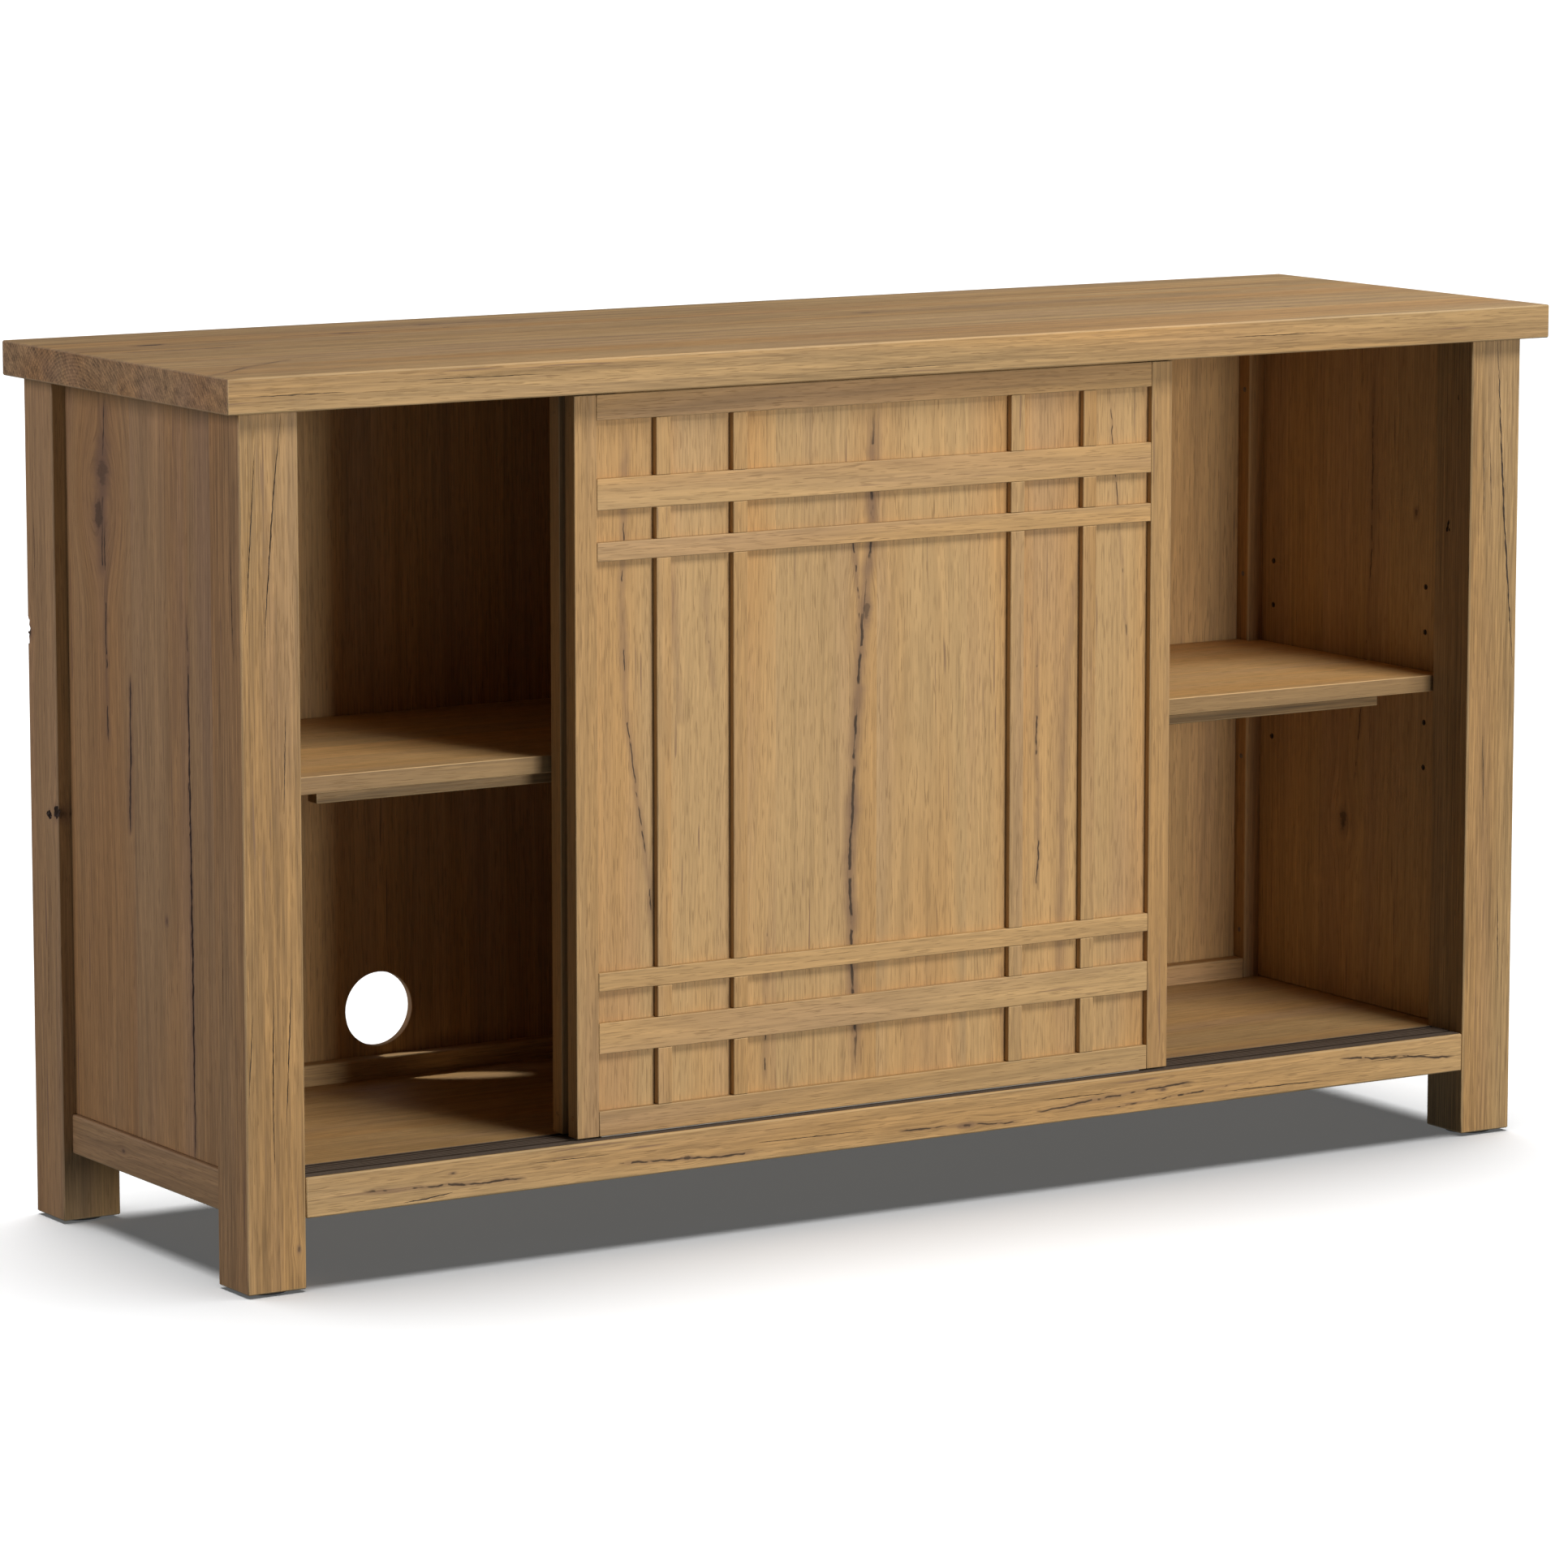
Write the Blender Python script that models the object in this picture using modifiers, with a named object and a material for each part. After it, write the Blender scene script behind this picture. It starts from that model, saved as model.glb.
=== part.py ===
"""Oak media cabinet on four square legs, with two sliding doors that pass each other.

Metres, +Z up. The origin is on the floor under the middle of the cabinet, the doors face -Y
and +X is the right-hand side seen from the front.
"""

import math

import bmesh
import bpy
from mathutils import Vector

# Overall size
WIDTH = 1.524
DEPTH = 0.470
HEIGHT = 0.864

# Gap kept between pieces that touch, and how far an eased edge is taken off
FIT = 0.0003
ARRIS = 0.0012
FINE_ARRIS = 0.0006

# Slab and legs
TOP_THICK = 0.034
SIDE_OVERHANG = 0.021
FRONT_OVERHANG = 0.020
BACK_OVERHANG = 0.003
LEG_WIDE = 0.062
LEG_DEEP = 0.060
GLIDE_HIGH = 0.003
GLIDE_RADIUS = 0.024

# Case
RAIL_BOTTOM = 0.070
DECK = 0.109
FLOOR_THICK = 0.018
STRETCHER_INSET = 0.010
PANEL_INSET = 0.0145
PANEL_RECESS = 0.018
BACK_RECESS = 0.019
BACK_THICK = 0.009
REAR_RAIL_RISE = 0.021
REAR_RAIL_THICK = 0.018
DIVIDER_THICK = 0.020
DIVIDER_HOUSING = 0.004
CABLE_HOLE_RADIUS = 0.0375
CABLE_HOLE_X = 0.378
CABLE_HOLE_Z = 0.176

# Double tracks
TRACK_DEEP = 0.050
TRACK_SETBACK = 0.004
BOTTOM_TRACK_THICK = 0.007
BOTTOM_GROOVE = (0.007, 0.0045)
TOP_TRACK_THICK = 0.012
TOP_GROOVE = (0.009, 0.009)

# Doors
DOOR_WIDE = 0.690
DOOR_HIGH = 0.715
DOOR_THICK = 0.018
DOOR_PARKED_X = -0.034
DOOR_LIFT = 0.002
DOOR_SETBACKS = {"front": 0.010, "rear": 0.039}
FRAME_WIDE = 0.0245
RELIEF = 0.0075
REBATE = 0.008
PANEL_THICK = DOOR_THICK - RELIEF
CROSS_BARS = {"wide": (0.030, 0.2622), "narrow": (0.018, 0.2073)}
UPRIGHT_WIDE = 0.016
UPRIGHT_CENTRES = (-0.2464, -0.1604, 0.1604, 0.2464)
TONGUE = (0.008, 0.0105)
RUNNER = (0.006, 0.0055)
RUNNER_END = 0.030

# Shelves
SHELF_TOP = 0.477
SHELF_THICK = 0.017
SHELF_FRONT = 0.063
SHELF_SLACK = 0.002
STIFFENER = (0.018, 0.012)
STIFFENER_SETBACK = 0.015
STIFFENER_END = 0.075
PEG_RADIUS = 0.0021
PEG_HOLE_RADIUS = 0.0025
PEG_HOLE_DEEP = 0.008
PEG_ROWS = 5
PEG_PITCH = 0.0475
PEG_ABOVE_SHELF_BASE = 0.0094
PEG_SETBACKS = {"front": 0.037, "rear": 0.022}
PLATE_THICK = 0.0015
PLATE_WIDE = 0.012
ROUND_SIDES = 12
BORE_SIDES = 48

# Planes worked out from the sizes above
FRONT = -DEPTH / 2
BACK = DEPTH / 2
TOP_BASE = HEIGHT - TOP_THICK
LEG_OUTER = WIDTH / 2 - SIDE_OVERHANG
LEG_INNER = LEG_OUTER - LEG_WIDE
LEG_FRONT = FRONT + FRONT_OVERHANG
LEG_BACK = LEG_FRONT + LEG_DEEP
REAR_LEG_BACK = BACK - BACK_OVERHANG
REAR_LEG_FRONT = REAR_LEG_BACK - LEG_DEEP
PANEL_INNER = LEG_INNER + PANEL_RECESS
PANEL_OUTER = LEG_OUTER - PANEL_INSET
STRETCHER_OUTER = LEG_OUTER - STRETCHER_INSET
BACK_FACE = REAR_LEG_FRONT + BACK_RECESS
TRACK_FRONT = LEG_FRONT + TRACK_SETBACK
TRACK_BACK = TRACK_FRONT + TRACK_DEEP
SHELF_FRONT_Y = LEG_FRONT + SHELF_FRONT
SHELF_BASE = SHELF_TOP - SHELF_THICK
PEG_Z = SHELF_BASE + PEG_ABOVE_SHELF_BASE
PEG_Y = {
    "front": LEG_BACK + PEG_SETBACKS["front"],
    "rear": REAR_LEG_FRONT - PEG_SETBACKS["rear"],
}
DOOR_BASE = DECK + DOOR_LIFT

# Colour, roughness and metallic value of each finish
FINISHES = {
    "solid_oak": ((0.46, 0.31, 0.16), 0.55, 0.0),
    "oak_veneer": ((0.42, 0.28, 0.15), 0.55, 0.0),
    "track_profile": ((0.055, 0.045, 0.04), 0.45, 0.0),
    "glide_plastic": ((0.02, 0.02, 0.02), 0.6, 0.0),
    "runner_nylon": ((0.75, 0.73, 0.68), 0.4, 0.0),
    "nickel_steel": ((0.55, 0.54, 0.52), 0.3, 1.0),
}


def clear_scene():
    """Removes whatever the scene starts with."""
    for thing in list(bpy.data.objects):
        bpy.data.objects.remove(thing, do_unlink=True)


def collection(name):
    """A new collection linked to the scene."""
    made = bpy.data.collections.new(name)
    bpy.context.scene.collection.children.link(made)
    return made


def material(finish):
    """The material of a finish, made the first time that it is asked for."""
    found = bpy.data.materials.get(finish)
    if found:
        return found
    colour, roughness, metallic = FINISHES[finish]
    made = bpy.data.materials.new(finish)
    made.use_nodes = True
    shader = made.node_tree.nodes["Principled BSDF"]
    shader.inputs["Base Color"].default_value = (*colour, 1.0)
    shader.inputs["Roughness"].default_value = roughness
    shader.inputs["Metallic"].default_value = metallic
    made.diffuse_color = (*colour, 1.0)
    return made


def box_mesh(form, low, high):
    """Adds a box between two corners to a bmesh."""
    low, high = Vector(low), Vector(high)
    made = bmesh.ops.create_cube(form, size=1.0)["verts"]
    bmesh.ops.scale(form, vec=high - low, verts=made)
    bmesh.ops.translate(form, vec=(low + high) / 2, verts=made)


def rod_mesh(form, start, end, radius, sides):
    """Adds a round rod between two points to a bmesh."""
    start, end = Vector(start), Vector(end)
    made = bmesh.ops.create_cone(
        form,
        cap_ends=True,
        segments=sides,
        radius1=radius,
        radius2=radius,
        depth=(end - start).length,
    )["verts"]
    turn = Vector((0, 0, 1)).rotation_difference(end - start).to_matrix()
    bmesh.ops.rotate(form, matrix=turn, verts=made)
    bmesh.ops.translate(form, vec=(start + end) / 2, verts=made)


def mesh_from(name, form):
    """The mesh of a bmesh, which is freed."""
    mesh = bpy.data.meshes.new(name)
    form.to_mesh(mesh)
    form.free()
    return mesh


def block(name, low, high, finish, arris=ARRIS, carrier=None):
    """A piece cut square, with its edges eased, in the cabinet's collection."""
    low, high = Vector(low), Vector(high)
    form = bmesh.new()
    box_mesh(form, (low - high) / 2, (high - low) / 2)
    piece = bpy.data.objects.new(name, mesh_from(name, form))
    PARTS.objects.link(piece)
    piece.location = (low + high) / 2
    if carrier:
        piece.parent = carrier
        piece.location -= carrier.location
    piece.data.materials.append(material(finish))
    if arris:
        bevel = piece.modifiers.new("arris", "BEVEL")
        bevel.width = arris
        bevel.segments = 1
        bevel.limit_method = "ANGLE"
    return piece


def helper(name, boxes=(), rods=(), sides=ROUND_SIDES):
    """A shape for Booleans only, kept out of the render, at the origin."""
    form = bmesh.new()
    for low, high in boxes:
        box_mesh(form, low, high)
    for start, end, radius in rods:
        rod_mesh(form, start, end, radius, sides)
    shape = bpy.data.objects.new(name, mesh_from(name, form))
    HELPERS.objects.link(shape)
    shape.hide_render = True
    shape.display_type = "WIRE"
    return shape


def combine(piece, shape, operation="DIFFERENCE"):
    """Cuts a helper shape from a piece, or joins it on."""
    boolean = piece.modifiers.new(operation.lower(), "BOOLEAN")
    boolean.operation = operation
    boolean.solver = "EXACT"
    boolean.object = shape


def turned_disc(name, centre, radius, high, finish):
    """A flat round pad standing on z = 0, turned from its profile."""
    profile = bmesh.new()
    ease = high / 3
    outline = [(0, high), (radius, high), (radius, ease), (radius - ease, 0), (0, 0)]
    points = [profile.verts.new((x, 0, z)) for x, z in outline]
    for first, second in zip(points, points[1:]):
        profile.edges.new((first, second))
    pad = bpy.data.objects.new(name, mesh_from(name, profile))
    PARTS.objects.link(pad)
    pad.location = (*centre, 0)
    pad.data.materials.append(material(finish))
    screw = pad.modifiers.new("turn", "SCREW")
    screw.steps = screw.render_steps = 2 * ROUND_SIDES
    screw.use_merge_vertices = True
    screw.merge_threshold = 0.0001
    return pad


def top():
    """The slab, with the pocket in its underside that holds the upper double track."""
    slab = block("top_slab", (-WIDTH / 2, FRONT, TOP_BASE), (WIDTH / 2, BACK, HEIGHT), "oak_veneer")
    pocket = helper(
        "top_track_pocket",
        [
            (
                (-LEG_INNER, TRACK_FRONT - FIT, TOP_BASE - ARRIS),
                (LEG_INNER, TRACK_BACK + FIT, TOP_BASE + TOP_TRACK_THICK + FIT),
            )
        ],
    )
    combine(slab, pocket)


def legs():
    """Four square legs up to the slab, each on a round glide."""
    for side, sign in (("left", -1), ("right", 1)):
        for end, near, far in (
            ("front", LEG_FRONT, LEG_BACK),
            ("rear", REAR_LEG_FRONT, REAR_LEG_BACK),
        ):
            inner, outer = sorted((sign * LEG_INNER, sign * LEG_OUTER))
            block(
                f"leg_{end}_{side}",
                (inner, near, GLIDE_HIGH),
                (outer, far, TOP_BASE - FIT),
                "solid_oak",
            )
            middle = (sign * (LEG_INNER + LEG_OUTER) / 2, (near + far) / 2)
            turned_disc(
                f"glide_{end}_{side}", middle, GLIDE_RADIUS, GLIDE_HIGH - FIT, "glide_plastic"
            )


def peg_holes(sign_faces):
    """Rods of the shelf-peg holes: one column near the front and one near the back of each face."""
    rods = []
    for face, inward in sign_faces:
        for y in PEG_Y.values():
            for row in range(PEG_ROWS):
                z = PEG_Z + (row - PEG_ROWS // 2) * PEG_PITCH
                start = (face - inward * PEG_HOLE_RADIUS, y, z)
                rods.append((start, (face + inward * PEG_HOLE_DEEP, y, z), PEG_HOLE_RADIUS))
    return rods


def sides():
    """The end panels between the legs, drilled for shelf pegs, and the stretchers under them."""
    for side, sign in (("left", -1), ("right", 1)):
        near, far = LEG_BACK + FIT, REAR_LEG_FRONT - FIT
        low, high = sorted((sign * PANEL_INNER, sign * PANEL_OUTER))
        panel = block(
            f"side_panel_{side}",
            (low, near, DECK + FIT),
            (high, far, TOP_BASE - FIT),
            "oak_veneer",
            arris=0,
        )
        combine(panel, helper(f"peg_holes_{side}", rods=peg_holes([(sign * PANEL_INNER, sign)])))
        low, high = sorted((sign * (PANEL_INNER + FIT), sign * STRETCHER_OUTER))
        block(f"side_stretcher_{side}", (low, near, RAIL_BOTTOM), (high, far, DECK), "solid_oak")


def case():
    """The rails, the floor with a groove for the divider, and the back with its cable holes."""
    reach = LEG_INNER - FIT
    rail = block(
        "front_rail", (-reach, LEG_FRONT, RAIL_BOTTOM), (reach, TRACK_BACK, DECK), "solid_oak"
    )
    seat = helper(
        "track_seat",
        [
            (
                (-WIDTH / 2, TRACK_FRONT - FIT, DECK - BOTTOM_TRACK_THICK - FIT),
                (WIDTH / 2, TRACK_BACK + ARRIS, DECK + ARRIS),
            )
        ],
    )
    combine(rail, seat)

    block(
        "rear_rail",
        (-reach, REAR_LEG_FRONT, RAIL_BOTTOM),
        (reach, REAR_LEG_FRONT + REAR_RAIL_THICK, DECK + REAR_RAIL_RISE),
        "solid_oak",
    )

    floor = block(
        "floor_panel",
        (-PANEL_INNER + FIT, TRACK_BACK + FIT, DECK - FLOOR_THICK),
        (PANEL_INNER - FIT, REAR_LEG_FRONT - FIT, DECK),
        "oak_veneer",
        arris=0,
    )
    corners = [
        (
            (min(sign * reach, sign * WIDTH / 2), TRACK_BACK - FIT, 0),
            (max(sign * reach, sign * WIDTH / 2), LEG_BACK + FIT, DECK + ARRIS),
        )
        for sign in (-1, 1)
    ]
    combine(floor, helper("leg_corners", corners))
    half = DIVIDER_THICK / 2
    housing = helper(
        "divider_housing",
        [
            (
                (-half - FIT, -DEPTH, DECK - DIVIDER_HOUSING - FIT),
                (half + FIT, DEPTH, DECK + ARRIS),
            )
        ],
    )
    combine(floor, housing)

    back = block(
        "back_panel",
        (-reach, BACK_FACE - FIT, RAIL_BOTTOM),
        (reach, BACK_FACE - FIT + BACK_THICK, TOP_BASE - FIT),
        "oak_veneer",
        arris=0,
    )
    cable_holes = [
        (
            (sign * CABLE_HOLE_X, BACK_FACE - BACK_THICK, CABLE_HOLE_Z),
            (sign * CABLE_HOLE_X, BACK_FACE + 2 * BACK_THICK, CABLE_HOLE_Z),
            CABLE_HOLE_RADIUS,
        )
        for sign in (-1, 1)
    ]
    combine(back, helper("cable_bores", rods=cable_holes, sides=BORE_SIDES))


def divider():
    """The board between the two halves, housed in the floor and notched over the rear rail."""
    half = DIVIDER_THICK / 2
    foot = DECK - DIVIDER_HOUSING
    board = block(
        "centre_divider",
        (-half, SHELF_FRONT_Y, foot),
        (half, BACK_FACE - 2 * FIT, TOP_BASE - FIT),
        "oak_veneer",
        arris=0,
    )
    toe = helper(
        "divider_toe",
        [((-half, TRACK_BACK + FIT, foot), (half, SHELF_FRONT_Y + ARRIS, DECK))],
    )
    combine(board, toe, "UNION")
    notch = helper(
        "divider_notch",
        [
            (
                (-DIVIDER_THICK, REAR_LEG_FRONT - FIT, 0),
                (DIVIDER_THICK, BACK, DECK + REAR_RAIL_RISE + FIT),
            )
        ],
    )
    combine(board, notch)
    combine(board, helper("peg_holes_divider", rods=peg_holes([(half, -1), (-half, 1)])))


def tracks():
    """The lower track in the front rail and the upper track in the slab, each with two grooves."""
    reach = LEG_INNER - FIT
    middles = [LEG_FRONT + setback + DOOR_THICK / 2 for setback in DOOR_SETBACKS.values()]
    for name, low_z, high_z, groove, face in (
        ("bottom_track", DECK - BOTTOM_TRACK_THICK, DECK, BOTTOM_GROOVE, 1),
        ("top_track", TOP_BASE, TOP_BASE + TOP_TRACK_THICK, TOP_GROOVE, -1),
    ):
        track = block(
            name,
            (-reach, TRACK_FRONT, low_z),
            (reach, TRACK_BACK, high_z),
            "track_profile",
            arris=0,
        )
        wide, deep = groove
        mouth = high_z if face > 0 else low_z
        bottom, rim = sorted((mouth - face * deep, mouth + face * deep))
        channels = [
            ((-WIDTH, middle - wide / 2, bottom), (WIDTH, middle + wide / 2, rim))
            for middle in middles
        ]
        combine(track, helper(f"{name}_channels", channels))


def shelf_support(name, face, outward, y):
    """A steel bracket: a peg in the panel, a plate down it and a ledge under the shelf.

    face is the panel's surface in X and outward is the sign from it into the compartment.
    """
    wall = face + outward * FIT
    skin = wall + outward * PLATE_THICK
    ledge = skin + outward * PLATE_WIDE
    half = PLATE_WIDE / 2
    under = SHELF_BASE - FIT - PLATE_THICK
    plate_top = PEG_Z + half
    low, high = sorted((wall, skin))
    bracket = block(
        name, (low, y - half, under), (high, y + half, plate_top), "nickel_steel", arris=0
    )
    low, high = sorted((wall + outward * PLATE_THICK / 2, ledge))
    tip = face - outward * (PEG_HOLE_DEEP - 2 * FIT)
    combine(
        bracket,
        helper(f"{name}_ledge", [((low, y - half, under), (high, y + half, SHELF_BASE - FIT))]),
        "UNION",
    )
    peg = ((skin - outward * PLATE_THICK / 2, y, PEG_Z), (tip, y, PEG_Z), PEG_RADIUS)
    combine(bracket, helper(f"{name}_peg", rods=[peg]), "UNION")


def shelves():
    """A shelf in each half, its stiffener and the four brackets that carry it."""
    inner_face = DIVIDER_THICK / 2
    for side, sign in (("left", -1), ("right", 1)):
        near = inner_face + FIT + PLATE_THICK + SHELF_SLACK / 4
        far = PANEL_INNER - FIT - PLATE_THICK - SHELF_SLACK / 4
        low, high = sorted((sign * near, sign * far))
        shelf = block(
            f"shelf_{side}",
            (low, SHELF_FRONT_Y, SHELF_BASE),
            (high, BACK_FACE - SHELF_SLACK, SHELF_TOP),
            "oak_veneer",
            arris=FINE_ARRIS,
        )
        low, high = sorted((sign * (LEG_INNER - FIT), sign * WIDTH / 2))
        corner = helper(
            f"shelf_corner_{side}",
            [((low, REAR_LEG_FRONT - SHELF_SLACK, 0), (high, BACK, HEIGHT))],
        )
        combine(shelf, corner)

        deep, high_z = STIFFENER
        low, high = sorted((sign * (inner_face + STIFFENER_END), sign * (PANEL_INNER - STIFFENER_END)))
        near_y = SHELF_FRONT_Y + STIFFENER_SETBACK
        block(
            f"shelf_stiffener_{side}",
            (low, near_y, SHELF_BASE - FIT - high_z),
            (high, near_y + deep, SHELF_BASE - FIT),
            "solid_oak",
            arris=FINE_ARRIS,
        )
        for end, y in PEG_Y.items():
            shelf_support(f"shelf_support_{side}_outer_{end}", sign * PANEL_INNER, -sign, y)
            shelf_support(f"shelf_support_{side}_inner_{end}", sign * inner_face, sign, y)


def door(place, setback):
    """A framed door with a fielded grid of bars over its panel, a tongue above and a runner below."""
    face = LEG_FRONT + setback
    back = face + DOOR_THICK
    middle = (face + back) / 2
    left = DOOR_PARKED_X - DOOR_WIDE / 2
    right = DOOR_PARKED_X + DOOR_WIDE / 2
    base, head = DOOR_BASE, DOOR_BASE + DOOR_HIGH
    inner_left, inner_right = left + FRAME_WIDE, right - FRAME_WIDE
    inner_base, inner_head = base + FRAME_WIDE, head - FRAME_WIDE
    name = f"door_{place}"

    carrier = bpy.data.objects.new(f"{name}_slide_axis", None)
    PARTS.objects.link(carrier)
    carrier.location = (DOOR_PARKED_X, middle, base)

    # The panel sits in a rebate cut round the back of the frame.
    rebate = helper(
        f"{name}_rebate",
        [
            (
                (inner_left - REBATE, back - PANEL_THICK - FIT, inner_base - REBATE),
                (inner_right + REBATE, back + FRAME_WIDE, inner_head + REBATE),
            )
        ],
    )
    inset = REBATE - FIT
    block(
        f"{name}_panel",
        (inner_left - inset, back - PANEL_THICK, inner_base - inset),
        (inner_right + inset, back, inner_head + inset),
        "oak_veneer",
        arris=0,
        carrier=carrier,
    )
    for end, low, high in (("left", left, inner_left), ("right", inner_right, right)):
        stile = block(
            f"{name}_stile_{end}",
            (low, face, base),
            (high, back, head),
            "solid_oak",
            arris=FINE_ARRIS,
            carrier=carrier,
        )
        combine(stile, rebate)

    wide, tall = TONGUE
    tongue = helper(
        f"{name}_tongue",
        [
            (
                (inner_left + FRAME_WIDE, middle - wide / 2, head - FRAME_WIDE / 4),
                (inner_right - FRAME_WIDE, middle + wide / 2, head + tall),
            )
        ],
    )
    for end, low, high in (("top", inner_head, head), ("bottom", base, inner_base)):
        rail = block(
            f"{name}_rail_{end}",
            (inner_left + FIT, face, low),
            (inner_right - FIT, back, high),
            "solid_oak",
            arris=FINE_ARRIS,
            carrier=carrier,
        )
        combine(rail, rebate)
        if end == "top":
            combine(rail, tongue, "UNION")

    door_grid(name, carrier, face, (inner_left, inner_right), (inner_base, inner_head))

    wide, tall = RUNNER
    block(
        f"{name}_runner",
        (left + RUNNER_END, middle - wide / 2, base - FIT - tall),
        (right - RUNNER_END, middle + wide / 2, base - FIT),
        "runner_nylon",
        arris=0,
        carrier=carrier,
    )


def door_grid(name, carrier, face, span, rise):
    """Cross bars and uprights, half-lapped where they cross and flush with the door's frame."""
    deep = RELIEF - FIT
    lap = face + deep / 2
    middle_z = sum(rise) / 2
    bars = [
        (f"{size}_{end}", middle_z + sign * off, wide / 2)
        for size, (wide, off) in CROSS_BARS.items()
        for end, sign in (("top", 1), ("bottom", -1))
    ]
    uprights = [(DOOR_PARKED_X + x, UPRIGHT_WIDE / 2) for x in UPRIGHT_CENTRES]
    under_bars = helper(
        f"{name}_lap_of_bars",
        [
            ((x - half - FIT, lap - FIT / 2, 0), (x + half + FIT, face + 2 * RELIEF, HEIGHT))
            for x, half in uprights
        ],
    )
    over_uprights = helper(
        f"{name}_lap_of_uprights",
        [
            ((-WIDTH, face - RELIEF, z - half - FIT), (WIDTH, lap + FIT / 2, z + half + FIT))
            for _, z, half in bars
        ],
    )
    for label, z, half in bars:
        bar = block(
            f"{name}_bar_{label}",
            (span[0] + FIT, face, z - half),
            (span[1] - FIT, face + deep, z + half),
            "solid_oak",
            arris=0,
            carrier=carrier,
        )
        combine(bar, under_bars)
    for number, (x, half) in enumerate(uprights, start=1):
        upright = block(
            f"{name}_upright_{number}",
            (x - half, face, rise[0] + FIT),
            (x + half, face + deep, rise[1] - FIT),
            "solid_oak",
            arris=0,
            carrier=carrier,
        )
        combine(upright, over_uprights)


def shade_round(pieces):
    """Smooth shading with sharp edges kept, on the turned pieces."""
    for piece in pieces:
        piece.data.shade_smooth()
        piece.data.set_sharp_from_angle(angle=math.radians(30))


clear_scene()
PARTS = collection("media_cabinet")
HELPERS = collection("helpers")
HELPERS.hide_render = True
top()
legs()
sides()
case()
divider()
tracks()
shelves()
for place_name, door_setback in DOOR_SETBACKS.items():
    door(place_name, door_setback)
shade_round([piece for piece in PARTS.objects if piece.name.startswith("glide_")])
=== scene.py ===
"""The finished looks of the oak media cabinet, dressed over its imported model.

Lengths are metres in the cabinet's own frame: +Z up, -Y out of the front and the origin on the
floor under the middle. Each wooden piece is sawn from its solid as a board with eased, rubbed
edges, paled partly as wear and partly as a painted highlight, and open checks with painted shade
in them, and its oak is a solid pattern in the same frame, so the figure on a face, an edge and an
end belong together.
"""

from __future__ import annotations

import logging
import math
import random
from dataclasses import dataclass, field
from enum import Enum
from typing import Any, Iterable, Mapping, Sequence, Union

import bmesh
import bpy
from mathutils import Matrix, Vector, noise


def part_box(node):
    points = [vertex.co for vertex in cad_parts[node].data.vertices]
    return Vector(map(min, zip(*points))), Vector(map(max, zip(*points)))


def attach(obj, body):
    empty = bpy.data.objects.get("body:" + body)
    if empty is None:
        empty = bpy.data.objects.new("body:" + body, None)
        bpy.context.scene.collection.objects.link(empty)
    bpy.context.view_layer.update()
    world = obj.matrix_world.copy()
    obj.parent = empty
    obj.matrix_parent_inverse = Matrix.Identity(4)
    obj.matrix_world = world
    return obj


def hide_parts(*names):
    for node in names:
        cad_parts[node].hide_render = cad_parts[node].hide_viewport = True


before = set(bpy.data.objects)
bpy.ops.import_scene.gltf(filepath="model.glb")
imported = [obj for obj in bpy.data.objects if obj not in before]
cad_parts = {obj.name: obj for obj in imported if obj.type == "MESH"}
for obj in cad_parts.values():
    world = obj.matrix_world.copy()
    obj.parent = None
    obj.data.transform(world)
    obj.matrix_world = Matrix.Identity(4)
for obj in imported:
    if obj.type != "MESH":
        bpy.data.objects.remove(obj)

LOG = logging.getLogger("media_cabinet")
WEAR_AND_PAINTED_LIGHT_MARK = "age"
AIM = "aim"
MERGE = 1e-5
FLAT = 0.999
MILLIMETRE = 0.001

Colour = tuple[float, float, float]
Number = Union[float, "Signal"]


class Axis(Enum):
    """An axis of the cabinet's frame."""

    X = 0
    Y = 1
    Z = 2


class Side(Enum):
    """Which face of a board is meant, along the axis through its thickness."""

    LOW = -1
    HIGH = 1


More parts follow.
